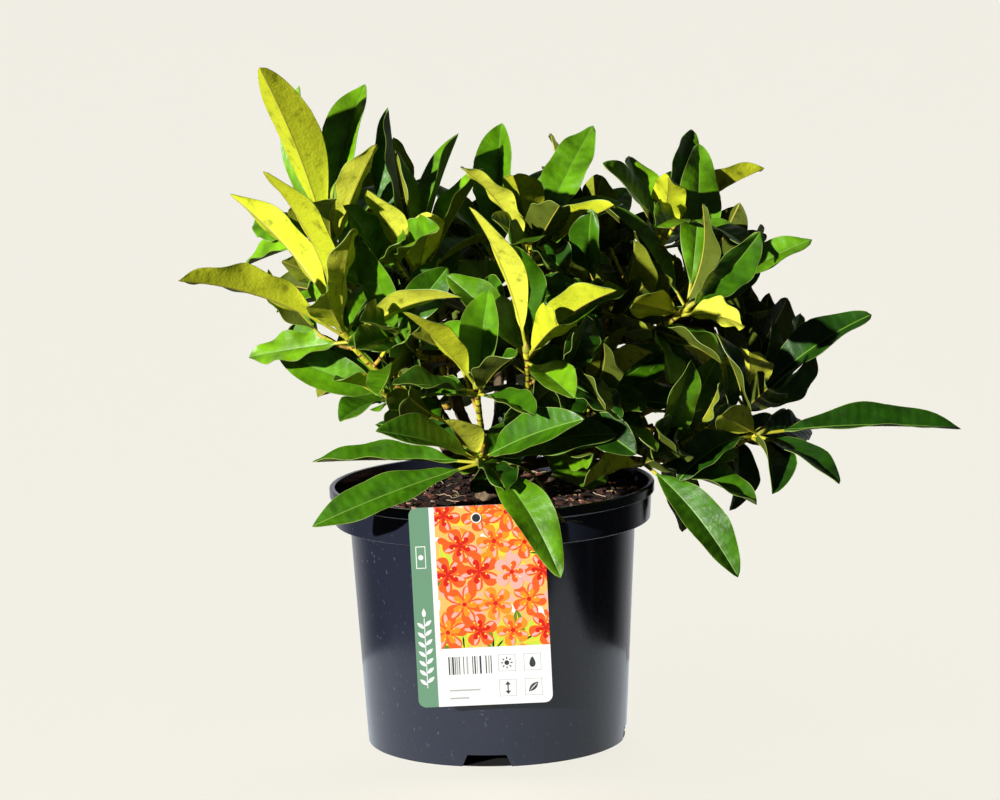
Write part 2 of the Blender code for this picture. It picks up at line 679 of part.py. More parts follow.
def grow_leaves(boughs, stems, shoots):
    """Marked leaves first, so that the others fit round them; then each whorl is filled by the golden turn."""
    space = Space()
    space.add(trunk_shape(LEAF_GUARD))
    space.add(lofted([circle(RIM_RADIUS + LEAF_GUARD, height, POT_STEPS)
                      for height in (0, POT_HEIGHT + LEAF_GUARD)]))
    space.add(card_room())
    for mass, bough in boughs.items():
        space.add(bough_shape(bough, LEAF_GUARD))
        space.add(stem_shape(stems[mass], LEAF_GUARD))
    for shoot in shoots:
        space.add(twig_shape(shoot, LEAF_GUARD), shoot.whorl)
    for shoot in shoots:
        chance = random.Random(f"marked {shoot.whorl.x:.3f} {shoot.whorl.z:.3f}")
        steepest_first = sorted(shoot.marked, key=lambda row: -row[1])
        for row in shoot.marked:
            heading, rise, length, face = row
            number = steepest_first.index(row)
            place(make_leaf(shoot, number, heading, rise, length, face, chance), shoot, space, False)
    for shoot in shoots:
        chance = random.Random(f"others {shoot.whorl.x:.3f} {shoot.whorl.z:.3f}")
        first = chance.uniform(0, 360)
        side = across(Vector((1, 0, 0)), shoot.axis)
        other = shoot.axis.cross(side)
        for number in range(2 * LEAVES_PER_SHOOT):
            if len(shoot.leaves) >= LEAVES_PER_SHOOT:
                break
            around = math.radians(first + GOLDEN_TURN * number)
            spread = math.radians(SPREADS[number % len(SPREADS)] + chance.uniform(-6, 6))
            along = (shoot.axis * math.cos(spread)
                     + (side * math.cos(around) + other * math.sin(around)) * math.sin(spread))
            heading = math.degrees(math.atan2(along.y, along.x))
            rise = math.degrees(math.asin(along.z))
            length = LEAF_LENGTH * chance.uniform(0.8, 1.15)
            leaf = make_leaf(shoot, len(shoot.leaves), heading, rise, length, None, chance)
            place(leaf, shoot, space, True)


def keep_largest_shell(mesh):
    """Drops loose scraps and the walls of sealed hollows, and leaves the outer skin."""
    shape = bmesh.new()
    shape.from_mesh(mesh)
    shells = []
    waiting = set(shape.faces)
    while waiting:
        shell = []
        edge_of_search = [waiting.pop()]
        while edge_of_search:
            face = edge_of_search.pop()
            shell.append(face)
            for edge in face.edges:
                for near in edge.link_faces:
                    if near in waiting:
                        waiting.remove(near)
                        edge_of_search.append(near)
        shells.append(shell)
    largest = max(shells, key=lambda shell: sum(face.calc_area() for face in shell))
    scraps = [face for shell in shells if shell is not largest for face in shell]
    bmesh.ops.delete(shape, geom=scraps, context="FACES")
    shape.to_mesh(mesh)
    shape.free()


def make_mass(name, stem, shoots, finish):
    """One solid of a mass's stem, twigs, buds and leaves. EXACT leaves a sealed hollow in one of them."""
    pieces = [add_object("twig", *twig_shape(shoot)) for shoot in shoots]
    pieces += [add_object("leaf", *leaf_shape(leaf)) for shoot in shoots for leaf in shoot.leaves]
    mass = add_object(f"foliage_{name}", *stem_shape(stem))
    apply_boolean(mass, pieces, "UNION", "MANIFOLD")
    keep_largest_shell(mass.data)
    mass.data.materials.clear()
    mass.data.materials.append(finish)


def main():
    clear_scene()
    bark = material("bark", (0.13, 0.09, 0.05), 0.8)
    green = material("foliage", (0.06, 0.16, 0.03), 0.5)
    make_pot(material("pot_plastic", (0.012, 0.015, 0.022), 0.25))
    make_soil(material("soil", (0.06, 0.032, 0.02), 0.9))
    make_label(material("label_card", (0.85, 0.85, 0.83), 0.4))
    boughs, stems, shoots = make_shoots()
    grow_leaves(boughs, stems, shoots)
    add_object("trunk", *trunk_shape(), bark, math.radians(50))
    for mass, bough in boughs.items():
        add_object(f"bough_{mass}", *bough_shape(bough), bark, math.radians(50))
        make_mass(mass, stems[mass], [shoot for shoot in shoots if shoot.mass == mass], green)


main()
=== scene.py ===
"""Looks of the potted rhododendron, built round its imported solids.

The plant is worked out again here by the same rule as its solids, and dressed: leaves with midrib, veins and
margins, buds, bark, finer twigs inside the crown, compost with bark chips, a moulded pot and a printed label.
"""

import math
import random
from dataclasses import dataclass, replace

import bmesh
import bpy
from mathutils import Matrix, Quaternion, Vector, noise
from mathutils.bvhtree import BVHTree


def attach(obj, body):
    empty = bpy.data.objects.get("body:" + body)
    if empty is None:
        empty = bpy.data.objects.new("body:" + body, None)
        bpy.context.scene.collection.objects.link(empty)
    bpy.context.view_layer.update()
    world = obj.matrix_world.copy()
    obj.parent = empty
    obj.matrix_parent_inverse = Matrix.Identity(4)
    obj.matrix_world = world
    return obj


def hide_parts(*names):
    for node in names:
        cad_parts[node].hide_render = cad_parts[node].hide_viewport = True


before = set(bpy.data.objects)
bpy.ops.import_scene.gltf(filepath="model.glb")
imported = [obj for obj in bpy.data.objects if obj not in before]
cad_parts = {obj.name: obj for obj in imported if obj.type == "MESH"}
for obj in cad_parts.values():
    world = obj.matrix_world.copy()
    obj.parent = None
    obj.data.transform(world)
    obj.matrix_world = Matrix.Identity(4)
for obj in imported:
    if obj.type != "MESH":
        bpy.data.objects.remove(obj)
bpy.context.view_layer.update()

GAP = 0.0003
UP = Vector((0, 0, 1))
FRONT = Vector((0, -1, 0.16)).normalized()

# Pot, a five-litre nursery container
RIM_RADIUS = 0.115
POT_HEIGHT = 0.184
BASE_RADIUS = 0.092
BODY_TOP_RADIUS = 0.1010
WALL = 0.0017
NOTCH_REACH = 4 * WALL
LIP_HEIGHT = 0.007
LIP_STEP = 0.0022
LIP_ROUND = 0.0008
COLLAR_HEIGHT = 0.026
COLLAR_FOOT_RADIUS = 0.1118
FOOT_RECESS = 0.0095
PAD_RADIUS = 0.033
POT_STEPS = 32
NOTCHES = 4
NOTCH_TURN = math.radians(-93.5)
NOTCH_HEIGHT = 0.0085
NOTCH_TOP_WIDTH = 0.027
NOTCH_FOOT_WIDTH = 0.036
DRAIN_RADIUS = 0.006
DRAIN_CIRCLE = 0.074

# Root ball
SOIL_TOP = 0.172
SOIL_BUMP = 0.0018

# Plant label, a card whose tongue hooks over the rim
CARD_WIDTH = 0.092
CARD_HEIGHT = 0.139
CARD_THICKNESS = 0.0008
CARD_CORNER = 0.0055
CARD_TOP = 0.189
CARD_CENTRE_X = -0.0065
CARD_TURN = math.radians(-1.6)
CARD_HOLE_RADIUS = 0.0028
CARD_HOLE_DROP = 0.0085
TONGUE_WIDTH = 0.009
TONGUE_DROP = 0.007

# Trunk and limbs
TRUNK_HEIGHT = 0.066
TRUNK_RADIUS = 0.0085
TRUNK_TOP_RADIUS = 0.0062
FLARE_RADIUS = 0.0140
TRUNK_LEAN = Vector((0.010, -0.004, 0))
TRUNK_SIDES = 10
BOUGH_RADII = (0.0044, 0.0031)
BOUGH_SIDES = 6
BOUGH_NECK = 0.004
BOUGH_REACH = 0.56
BOUGH_BEND = 0.3
STEM_RADIUS = 0.0029
STEM_LENGTH = 0.012
STEM_TAPER = 0.9
TWIG_RADIUS = 0.0021
TWIG_SIDES = 4
TWIG_SINK = 0.4
TWIG_LIFT = 0.6
TWIG_BEND = 0.45
BUD_RADIUS = 0.0028
BUD_LENGTH = 0.010
BUD_SHOULDER = 0.4

# Leaves
LEAF_LENGTH = 0.086
LEAF_SCALES = (0.8, 1.15)
LEAF_WIDTH = 0.022
LEAF_WIDTH_SHARE = 0.07
LEAF_THICKNESS = 0.0022
LEAF_GUARD = 0.0005
ROOT_SHARE = 0.05
CROWDED_SHARE = 0.24
PETIOLE_SHARE = 0.13
PETIOLE_HALF_WIDTH = 0.0013
LEAF_STEP = 0.0013
DROOP_BOW = 0.07
LEAVES_PER_SHOOT = 8
SPREADS = (38, 56, 74)
GOLDEN_TURN = 137.5
NUDGES = ((0, 0, 1), (6, 3, 1), (-6, 3, 1), (0, 9, 1), (0, -9, 1), (13, 5, 0.97), (-13, 5, 0.97),
          (13, -7, 0.95), (-13, -7, 0.95), (22, 0, 0.92), (-22, 0, 0.92), (0, 18, 0.9), (0, -18, 0.9))

# The crown's outer shape, an egg that unmarked leaves stay inside
CROWN_CENTRE = Vector((0.015, 0.025, 0.325))
CROWN_RADII = Vector((0.200, 0.190, 0.118))
CROWN_DEPTH = 0.190
CROWN_LEAN = 0.45

# Masses of foliage: the height on the trunk where the bough leaves it, then the mass's shoots. A shoot is the
# place of its whorl and its marked leaves: heading and rise in degrees, length, and how far the upper face
# turns to the front, from 1 for the upper face to -1 for the underside. More leaves follow the whorl's rule.
CROWN = {
    "left_high": (0.034, [
        ((-0.110, 0.000, 0.352), [
            (-130, 64, 0.150, -0.9), (60, 66, 0.124, 0.9), (120, 70, 0.120, 0.5), (-40, 60, 0.092, -0.6),
            (110, 30, 0.085, 0.4), (50, 40, 0.080, 0.5)]),
        ((-0.090, 0.090, 0.305), []),
    ]),
    "left_front": (0.022, [
        ((-0.100, -0.050, 0.302), [
            (-135, 60, 0.134, -0.5), (-100, 35, 0.062, -0.9), (-35, 20, 0.106, -0.45),
            (-152, 22, 0.134, -0.6), (152, 46, 0.130, -0.55), (115, 35, 0.090, 0.5),
            (60, 25, 0.076, 0.5), (-85, 58, 0.088, -0.5), (160, -10, 0.078, 0.75)]),
        ((-0.068, -0.030, 0.250), [
            (-135, 20, 0.056, -0.4), (-125, 2, 0.060, 0.5), (-55, -8, 0.056, 0.6)]),
    ]),
    "centre_left": (0.046, [
        ((-0.050, -0.010, 0.334), [
            (112, 67, 0.124, 0.45), (-75, 45, 0.076, -0.9), (-120, 50, 0.086, -0.6), (62, 56, 0.116, 0.45),
            (168, 64, 0.100, 0.3),
            (45, 20, 0.072, 0.4), (-150, 0, 0.066, -0.4)]),
        ((-0.052, -0.036, 0.283), [
            (-135, 20, 0.062, 0.6), (-45, 15, 0.068, 0.6), (-80, -15, 0.054, 0.6)]),
    ]),
    "centre_high": (0.058, [
        ((0.030, 0.000, 0.344), [
            (-100, 50, 0.082, -0.95), (50, 50, 0.114, 0.95), (75, 38, 0.090, 0.6), (-40, 30, 0.092, -0.6),
            (-130, 46, 0.100, -0.4), (20, -8, 0.066, 0.5)]),
        ((0.004, 0.045, 0.338), [
            (82, 62, 0.104, 0.95), (150, 40, 0.086, 0.5), (50, 44, 0.086, 0.6)]),
    ]),
    "centre_front": (0.034, [
        ((0.028, -0.092, 0.290), [
            (-125, 60, 0.122, -0.5), (100, 48, 0.090, 0.85), (-70, 25, 0.074, -0.95), (40, 22, 0.100, 0.7),
            (-30, 34, 0.086, -0.6), (125, 28, 0.066, 0.6)]),
        ((0.072, -0.062, 0.252), [
            (-130, 0, 0.060, 0.7), (-50, 0, 0.060, 0.7), (-35, 36, 0.062, -0.5)]),
        ((0.030, -0.048, 0.236), []),
    ]),
    "front_low": (0.010, [
        ((-0.006, -0.104, 0.268), [
            (-130, 40, 0.094, -0.5), (95, 40, 0.074, 0.8), (-150, 10, 0.066, 0.35), (-50, -8, 0.062, 0.5),
            (55, 25, 0.068, 0.7), (135, -8, 0.066, 0.5)]),
        ((-0.006, -0.092, 0.215), [
            (-140, 20, 0.094, 0.6), (145, 12, 0.092, 0.6), (172, 0, 0.118, 0.4), (-40, 22, 0.102, 0.8),
            (-18, 13, 0.102, 0.8), (-56, -34, 0.116, 0.9), (-72, -10, 0.060, 0.6), (-115, 36, 0.062, -0.5),
            (-161, -16, 0.126, 0.75), (70, 20, 0.054, 0.8)]),
    ]),
    "right_high": (0.046, [
        ((0.122, 0.020, 0.352), [
            (-130, 45, 0.086, 0.35), (110, 45, 0.080, 0.7), (65, 50, 0.094, 0.8), (-88, 42, 0.076, -0.9),
            (28, 28, 0.098, -0.5)]),
        ((0.140, -0.018, 0.308), [
            (80, 60, 0.126, 0.95), (-45, 40, 0.094, 0.8), (48, 32, 0.100, 0.5), (5, 28, 0.104, 0.6),
            (-50, 0, 0.064, -0.7), (142, 42, 0.108, 0.4), (-130, 15, 0.055, -0.8)]),
        ((0.084, 0.000, 0.288), []),
    ]),
    "right_far": (0.022, [
        ((0.184, 0.020, 0.232), [
            (52, 42, 0.088, 0.6), (12, 34, 0.114, 0.75), (-90, 42, 0.072, -0.9), (-150, 42, 0.086, -0.55),
            (98, 50, 0.082, 0.3), (38, 30, 0.080, 0.6)]),
    ]),
    "right_low": (0.010, [
        ((0.186, -0.052, 0.224), [
            (14, -2, 0.150, 0.5), (-120, 22, 0.056, -0.9), (-45, -18, 0.082, 0.5), (-150, -22, 0.066, 0.8),
            (-80, -24, 0.070, 0.7)]),
        ((0.110, -0.062, 0.208), [
            (55, 36, 0.098, 0.95), (-28, -12, 0.088, 0.6), (-40, -41, 0.108, 0.9), (-135, -8, 0.062, -0.5),
            (120, 30, 0.080, 0.8)]),
        ((0.066, -0.030, 0.232), []),
    ]),
    "back_left": (0.022, [
        ((-0.045, 0.145, 0.278), []),
        ((-0.050, 0.115, 0.222), []),
    ]),
    "back_high": (0.046, [
        ((-0.052, 0.090, 0.340), []),
        ((0.064, 0.095, 0.336), []),
    ]),
    "back_right": (0.034, [
        ((0.145, 0.105, 0.300), []),
        ((0.175, 0.100, 0.236), []),
    ]),
    "back_low": (0.010, [
        ((0.075, 0.145, 0.275), []),
        ((0.045, 0.150, 0.215), []),
        ((0.120, 0.130, 0.215), []),
    ]),
}

# Bark, twigs and buds as they look
TRUNK_STEPS = 40
BARK_SIDES = 20
BARK_STEP = 0.0016
BARK_RELIEF = 0.07
SCAR_SPACING = 0.0075
SCAR_WIDTH = 0.0009
SCAR_SWELL = 0.13
STEM_GAIN = 1.25
NODE_SWELL = 0.3
NODE_LENGTH = 0.006
FINE_TWIG_RADIUS = 0.0013
FINE_TWIG_PLACES = (0.35, 0.6, 0.85)
FINE_TWIG_LENGTH = (0.024, 0.044)
FINE_TWIG_SAG = 0.003
FINE_REACH = 0.84
FINE_LEAVES = 5
FINE_LEAF_LENGTH = (0.046, 0.072)
BUD_RINGS = 14
BUD_SIDES = 15
BUD_SCALES = 5

# A dry stalk over the pot's lip, and the thread at its end
DRY_STALK = ((-0.005, -0.090, 0.212), (0.012, -0.084, 0.2115), (0.0285, -0.083, 0.2055),
             (0.0353, -0.0945, 0.1985), (0.0415, -0.1055, 0.1890), (0.0470, -0.1125, 0.1818),
             (0.0510, -0.1160, 0.1768))
DRY_THREAD = ((0.0540, -0.1162, 0.1764), (0.0585, -0.1160, 0.1770), (0.0640, -0.1164, 0.1762))
DRY_RADIUS = 0.0017
THREAD_RADIUS = 0.0005

# Leaves as they look
STALK_ROWS = [0, 0.06, 0.12]
LAST_ROW = 0.985
VEIN_SPACING = 0.0075
VEIN_PROFILE = (1.0, -0.1, -0.5, -0.3)
VEIN_RELIEF = 0.0004
VEIN_LEAN = 0.55
UNDERSIDE_RELIEF = 0.25
FOLD_GAIN = (1.0, 2.3)
WAVE_COUNT = (2.0, 4.0)
WAVE_HEIGHT = 0.0014
WAVE_GAIN = (0.4, 1.6)
RIB_HALF_WIDTH = 0.0005
RIB_GROOVE = 0.0004
RIB_RIDGE = 0.0009
MARGIN_WIDTH = 0.0003
MARGIN_ROLL = 0.0007
BLADE_THICKNESS = 0.0009
MARGIN_THICKNESS = 0.0004
STALK_THICKNESS = 0.0021
TIP_HALF_WIDTH = 0.0003
TONE_SPAN = 2.1
TONE_CHANCE = (-0.6, 0.9)

# The tone of each strip of a leaf's skin, once round it: 0 for the upper side, 1 for the underside, 2 for the
# midrib, 3 for the margin and 4 for the midrib below
STRIPS = [3, 0, 0, 0, 2, 2, 0, 0, 0, 3, 3, 1, 1, 1, 1, 4, 4, 1, 1, 1, 1, 3]

# Pot and compost as they look
FINE_POT_STEPS = 144
HOLE_STEPS = 24
POT_ROUND = 0.0009
SOIL_RINGS = 42
SOIL_STEPS = 160
SOIL_LIFT = 0.0016
SOIL_RELIEF = ((55, 3, 0.0016), (260, 7, 0.0016), (700, 1, 0.0007))
CHIP_COUNT = 620
CHIP_SIZES = ((0.0018, 0.0058), (0.001, 0.0026), (0.0004, 0.0011))
CHIP_WEIGHTS = (40, 30, 17, 10, 3)
FIBRE_COUNT = 90
FIBRE_LENGTH = (0.006, 0.02)
FIBRE_POINTS = 7
FIBRE_RADIUS = 0.00028

# Plant label as it looks
CARD_BACK = -RIM_RADIUS - GAP
CARD_SPIN = Matrix.Rotation(CARD_TURN, 3, "Y")
EYELET_RADIUS = 0.00055
EYELET_LIFT = 0.0004
EYELET_STEPS = 32
PRINT_LAYER = 0.00005
STRIPE_WIDTH = 0.0137
STRIPE_GAP = 0.0036
SPRIG_PAIRS = 7
SPRIG_FOOT = -0.0540
SPRIG_STEP = 0.0066
SPRIG_SHIFT = 0.0015
SPRIG_SPREAD = 0.85
SPRIG_WIDTH = 0.0026
SPRIG_LINE = 0.0003
PICTURE_HEIGHT = 0.0985
LOOSE_PETALS = 110
LOOSE_SIZES = (0.003, 0.009)
PICTURE_LEAF = (0.024, 0.0085)
PICTURE_RIB = (0.022, 0.0011)
PETALS = 5
BLOOM_RADIUS = 0.0135
BLOOM_ROWS = 5
BLOOM_COLUMNS = 4
BLOOM_COLOURS = (("coral", "red"), ("orange", "coral"), ("coral", "orange"), ("pink", "coral"))
SIGN_SIZE = 0.0118
SIGN_STEP = 0.0175
SIGN_INSET = 0.0045
SIGN_LINE = 0.00035

# Bars of no code: the width of each and the gap after it
BARS = ((0.0009, 0.0006), (0.0005, 0.0005), (0.0012, 0.0006), (0.0006, 0.0005), (0.0011, 0.0007),
        (0.0006, 0.0023), (0.0005, 0.0017), (0.0011, 0.0029), (0.0006, 0.0008), (0.0009, 0.0007),
        (0.0006, 0.0014), (0.0012, 0.0029), (0.0007, 0.0010), (0.0010, 0.0008), (0.0006, 0.0008))

# Stage, light and camera
FLOOR_SIZE = 40.0
GLOW_STEPS = 180
GLOW_RADIUS = 0.25
GLOW_HEIGHT = 0.0006
GLOW_CORNER = 0.13
GLOW_CORNER_TURN = math.radians(-37)
GLOW_CORNER_SPREAD = 0.24
SHADE_INSET = 0.001
SHADE_HEIGHT = 0.0003
KEY_HEADING = -132
KEY_RISE = 15
KEY_STRENGTH = 5.9
KEY_WIDTH = 1.5
FLOOR_LIGHT_RISE = 60
FLOOR_LIGHT_STRENGTH = 3.47
FLOOR_LIGHT_WIDTH = 30
FRONT_GLOW = 0.03
BACK_GLOW = 0.62
CAMERA_PLACE = Vector((0.071, -2.8, 0.692))
CAMERA_YAW = -0.0228
CAMERA_PITCH = -0.1591
CAMERA_ROLL = -0.023
CAMERA_LENS = 144.7

# Colours, as linear red, green and blue
# Leaf tops from dark to light; the fine sprays inside the crown take one step darker, painted shade.
LEAF_TOPS = ((0.016, 0.072, 0.002), (0.047, 0.158, 0.002), (0.100, 0.270, 0.003), (0.160, 0.370, 0.005),
             (0.270, 0.510, 0.009))
# The two darker undersides are painted shade; the two yellow ones are the underside's own colour.
LEAF_UNDERSIDES = ((0.095, 0.125, 0.012), (0.24, 0.28, 0.018), (0.55, 0.60, 0.022), (0.72, 0.74, 0.060))
BUD_GREEN = (0.42, 0.46, 0.05)
BUD_BROWN = (0.50, 0.30, 0.07)
DRY_GREEN = (0.46, 0.46, 0.10)
DRY_BROWN = (0.22, 0.15, 0.05)
DRY_STRAW = (0.42, 0.34, 0.20)
POT_COLOUR = (0.016, 0.019, 0.033)
POT_DUST = (0.075, 0.085, 0.115)
COMPOST_COLOURS = ((0.006, 0.003, 0.002), (0.026, 0.011, 0.007), (0.095, 0.038, 0.022))
CHIP_COLOURS = ((0.016, 0.006, 0.004), (0.060, 0.018, 0.010), (0.15, 0.050, 0.030), (0.42, 0.23, 0.15),
                (0.62, 0.46, 0.16))
FIBRE_COLOUR = (0.50, 0.36, 0.24)
LABEL_COLOURS = {
    "white": (0.82, 0.83, 0.83), "stripe": (0.150, 0.300, 0.190), "coral": (0.90, 0.115, 0.020),
    "orange": (0.93, 0.28, 0.022), "apricot": (0.95, 0.48, 0.13), "pink": (0.90, 0.42, 0.36),
    "red": (0.62, 0.020, 0.012), "yellow": (0.92, 0.66, 0.05), "lime": (0.55, 0.68, 0.06),
    "leaf": (0.12, 0.24, 0.03), "ink": (0.045, 0.055, 0.055), "grey": (0.42, 0.44, 0.43),
}
EYELET_COLOUR = (0.80, 0.80, 0.78)
# The eyelet hole's near-black is painted shade.
HOLE_SHADE_COLOUR = (0.01, 0.01, 0.012)
KEY_COLOUR = (1.0, 0.985, 0.94)
SKY_COLOUR = (0.93, 0.95, 1.0)
FLOOR_COLOUR = (0.88, 0.855, 0.768)
GLOW_COLOUR = (0.86, 0.93, 1.0)
SHADE_COLOUR = (0.004, 0.004, 0.005)

# The leaf's trims, each with its colour and roughness. The margin's pale green is a painted highlight.
LEAF_TRIMS = (("leaf_midrib", (0.15, 0.30, 0.03), 0.45), ("leaf_margin_painted_highlight", (0.26, 0.36, 0.07), 0.5),
              ("leaf_midrib_underside", (0.50, 0.44, 0.05), 0.55), ("leaf_stalk", (0.50, 0.48, 0.03), 0.5))

# The barks, each with its colour and its darkest and lightest shade, and the depth of its grain
BARKS = (("old_bark", ((0.13, 0.085, 0.045), 0.55, 1.9), 0.0009),
         ("young_bark", ((0.58, 0.56, 0.02), 0.55, 1.4), 0.0004),
         ("orange_bark", ((0.54, 0.34, 0.03), 0.4, 1.4), 0.0005),
         ("leaf_scars", ((0.16, 0.05, 0.02), 0.5, 2.0), 0.0005))


# Shapes

def lofted(rings):
    """Points and faces of one closed skin over rings of points. A ring of one point closes to a tip."""
    points = []
    starts = []
    for ring in rings:
        starts.append(len(points))
        points.extend(ring)
    faces = []
    for level in range(len(rings) - 1):
        low, high = starts[level], starts[level + 1]
        count = max(len(rings[level]), len(rings[level + 1]))
        for i in range(count):
            j = (i + 1) % count
            if len(rings[level]) == 1:
                faces.append((low, high + j, high + i))
            elif len(rings[level + 1]) == 1:
                faces.append((low + i, low + j, high))
            else:
                faces.append((low + i, low + j, high + j, high + i))
    for start, ring in ((starts[0], rings[0]), (starts[-1], rings[-1])):
        if len(ring) > 1:
            faces.append(tuple(range(start, start + len(ring))))
    return points, faces


def circle(radius, height, steps):
    return [Vector((radius * math.cos(math.tau * i / steps), radius * math.sin(math.tau * i / steps), height))
            for i in range(steps)]


def box(low, high):
    corners = ((low[0], low[1]), (high[0], low[1]), (high[0], high[1]), (low[0], high[1]))
    return lofted([[Vector((x, y, z)) for x, y in corners] for z in (low[2], high[2])])


def unit(vector):
    return vector.normalized()


def across(vector, along):
    """The unit part of a vector that is square to a unit direction."""
    return unit(vector - along * vector.dot(along))


def direction(heading, rise):
    """Heading is counted from +X towards +Y, and rise from the level, both in degrees."""
    level = math.cos(math.radians(rise))
    return Vector((level * math.cos(math.radians(heading)), level * math.sin(math.radians(heading)),
                   math.sin(math.radians(rise))))


def swung(side, other, turn):
    """The direction at an angle from one of two square directions towards the other."""
    return side * math.cos(turn) + other * math.sin(turn)


def bezier(start, middle, end, steps):
    path = []
    for i in range(steps + 1):
        t = i / steps
        path.append(start * (1 - t) ** 2 + middle * (2 * t * (1 - t)) + end * t ** 2)
    return path


def frames_along(path):
    """Each point of a path, the path's direction there and two directions square to it that don't twist."""
    side = None
    for i, point in enumerate(path):
        along = unit(path[min(i + 1, len(path) - 1)] - path[max(i - 1, 0)])
        side = across(side or (UP if abs(along.z) < 0.9 else Vector((1, 0, 0))), along)
        yield point, along, side, along.cross(side)


def tube(path, radii, sides, tip=None):
    """A limb with a ring at each point of its path, and a pointed end where a tip is given."""
    rings = [[point + swung(side, other, math.tau * k / sides) * radius for k in range(sides)]
             for (point, _, side, other), radius in zip(frames_along(path), radii)]
    if tip:
        rings.append([tip])
    return lofted(rings)


# The solids' rule, worked out again

@dataclass
class Leaf:
    root: Vector
    axis: Vector
    heading: float
    rise: float
    length: float
    face: float | None
    bow: float
    fold: float
    twist: float


@dataclass
class Shoot:
    mass: str
    whorl: Vector
    axis: Vector
    twig: list
    marked: list
    leaves: list


def body_radius(height):
    """The pot's outer radius below its collar."""
    return BASE_RADIUS + (BODY_TOP_RADIUS - BASE_RADIUS) * height / (POT_HEIGHT - COLLAR_HEIGHT)


def collar_inner_radius(height):
    foot = POT_HEIGHT - COLLAR_HEIGHT + WALL
    share = (height - foot) / (POT_HEIGHT - LIP_HEIGHT - foot)
    return COLLAR_FOOT_RADIUS + (RIM_RADIUS - LIP_STEP - COLLAR_FOOT_RADIUS) * min(share, 1) - WALL


def pot_profile():
    """From the middle of the floor, up the inside, over the lip, down the outside and in to the pad."""
    collar_foot = POT_HEIGHT - COLLAR_HEIGHT
    lip_foot = POT_HEIGHT - LIP_HEIGHT
    floor = FOOT_RECESS + WALL
    lip_inside = collar_inner_radius(POT_HEIGHT)
    inside = [(0, WALL), (PAD_RADIUS - WALL, WALL), (PAD_RADIUS - WALL / 2, floor),
              (body_radius(floor) - WALL, floor), (BODY_TOP_RADIUS - WALL, collar_foot + WALL),
              (COLLAR_FOOT_RADIUS - WALL, collar_foot + WALL), (lip_inside, lip_foot),
              (lip_inside, POT_HEIGHT)]
    outside = [(RIM_RADIUS - LIP_ROUND, POT_HEIGHT), (RIM_RADIUS, POT_HEIGHT - LIP_ROUND),
               (RIM_RADIUS, lip_foot), (RIM_RADIUS - LIP_STEP, lip_foot), (COLLAR_FOOT_RADIUS, collar_foot),
               (BODY_TOP_RADIUS, collar_foot), (BASE_RADIUS, 0)]
    under = [(BASE_RADIUS - WALL, 0), (BASE_RADIUS - WALL, FOOT_RECESS), (PAD_RADIUS + WALL / 2, FOOT_RECESS),
             (PAD_RADIUS, 0), (0, 0)]
    return inside + outside + under


def card_room():
    """A box round the hanging card and its tongue."""
    reach = CARD_WIDTH / 2 + CARD_CORNER / 2
    return box((CARD_CENTRE_X - reach, -RIM_RADIUS - 3 * CARD_THICKNESS, CARD_TOP - CARD_HEIGHT),
               (CARD_CENTRE_X + reach, -RIM_RADIUS + TONGUE_DROP, CARD_TOP + 2 * CARD_THICKNESS))


def trunk_point(height):
    share = height / TRUNK_HEIGHT
    return Vector((0, 0, SOIL_TOP + GAP + height)) + TRUNK_LEAN * share ** 1.5


def trunk_radius(height):
    share = height / TRUNK_HEIGHT
    shaft = TRUNK_RADIUS + (TRUNK_TOP_RADIUS - TRUNK_RADIUS) * share
    return shaft + (FLARE_RADIUS - TRUNK_RADIUS) * (1 - share) ** 7


def trunk_guard():
    """The solid trunk with a little room round it."""
    rings = []
    for share in (0, 0.05, 0.12, 0.22, 0.35, 0.65, 1):
        height = TRUNK_HEIGHT * share
        ring = circle(trunk_radius(height) + LEAF_GUARD, 0, TRUNK_SIDES)
        rings.append([trunk_point(height) + point for point in ring])
    return lofted(rings + [[trunk_point(TRUNK_HEIGHT + TRUNK_TOP_RADIUS / 2)]])


def bough_path(height, whorls):
    """A limb leaves the trunk's side level, then bends up to most of the way to its mass."""
    start = trunk_point(height)
    hub = sum(whorls, Vector()) / len(whorls)
    out = across(hub - start, UP)
    tip = start.lerp(hub, BOUGH_REACH)
    beside = [height + BOUGH_RADII[0] * side for side in (-1, 0, 1)]
    reach = max((trunk_point(near) - start).dot(out) + trunk_radius(near) for near in beside)
    foot = start + out * (reach + GAP)
    neck = foot + out * BOUGH_NECK
    bend = neck + out * (tip - neck).length * BOUGH_BEND
    return [foot] + bezier(neck, bend, tip, 5)


def bough_radius(share):
    thick, thin = BOUGH_RADII
    return thick + (thin - thick) * share


def bough_guard(path):
    last = len(path) - 1
    return tube(path, [bough_radius(i / last) + LEAF_GUARD for i in range(last + 1)], BOUGH_SIDES)


def stem_path(bough):
    """A mass's stem goes on from its bough's tip, a hair clear of it."""
    along = unit(bough[-1] - bough[-2])
    start = bough[-1] + along * GAP
    return [start, start + along * STEM_LENGTH]


def stem_guard(path):
    return tube(path, [STEM_RADIUS + LEAF_GUARD, STEM_RADIUS * STEM_TAPER + LEAF_GUARD], TWIG_SIDES)


def make_shoots():
    """Boughs, stems and shoots of the whole crown, worked out from the whorls' places."""
    boughs = {}
    stems = {}
    shoots = []
    for mass, (height, rows) in CROWN.items():
        whorls = [Vector(row[0]) for row in rows]
        boughs[mass] = bough_path(height, whorls)
        stems[mass] = stem_path(boughs[mass])
        fork = stems[mass][1]
        for whorl, (_, marked) in zip(whorls, rows):
            axis = unit(unit(whorl - fork) + UP * TWIG_LIFT)
            bend = whorl - axis * (whorl - fork).length * TWIG_BEND
            twig = bezier(fork - (fork - stems[mass][0]) * TWIG_SINK, bend, whorl, 4)
            shoots.append(Shoot(mass, whorl, axis, twig, marked, []))
    return boughs, stems, shoots


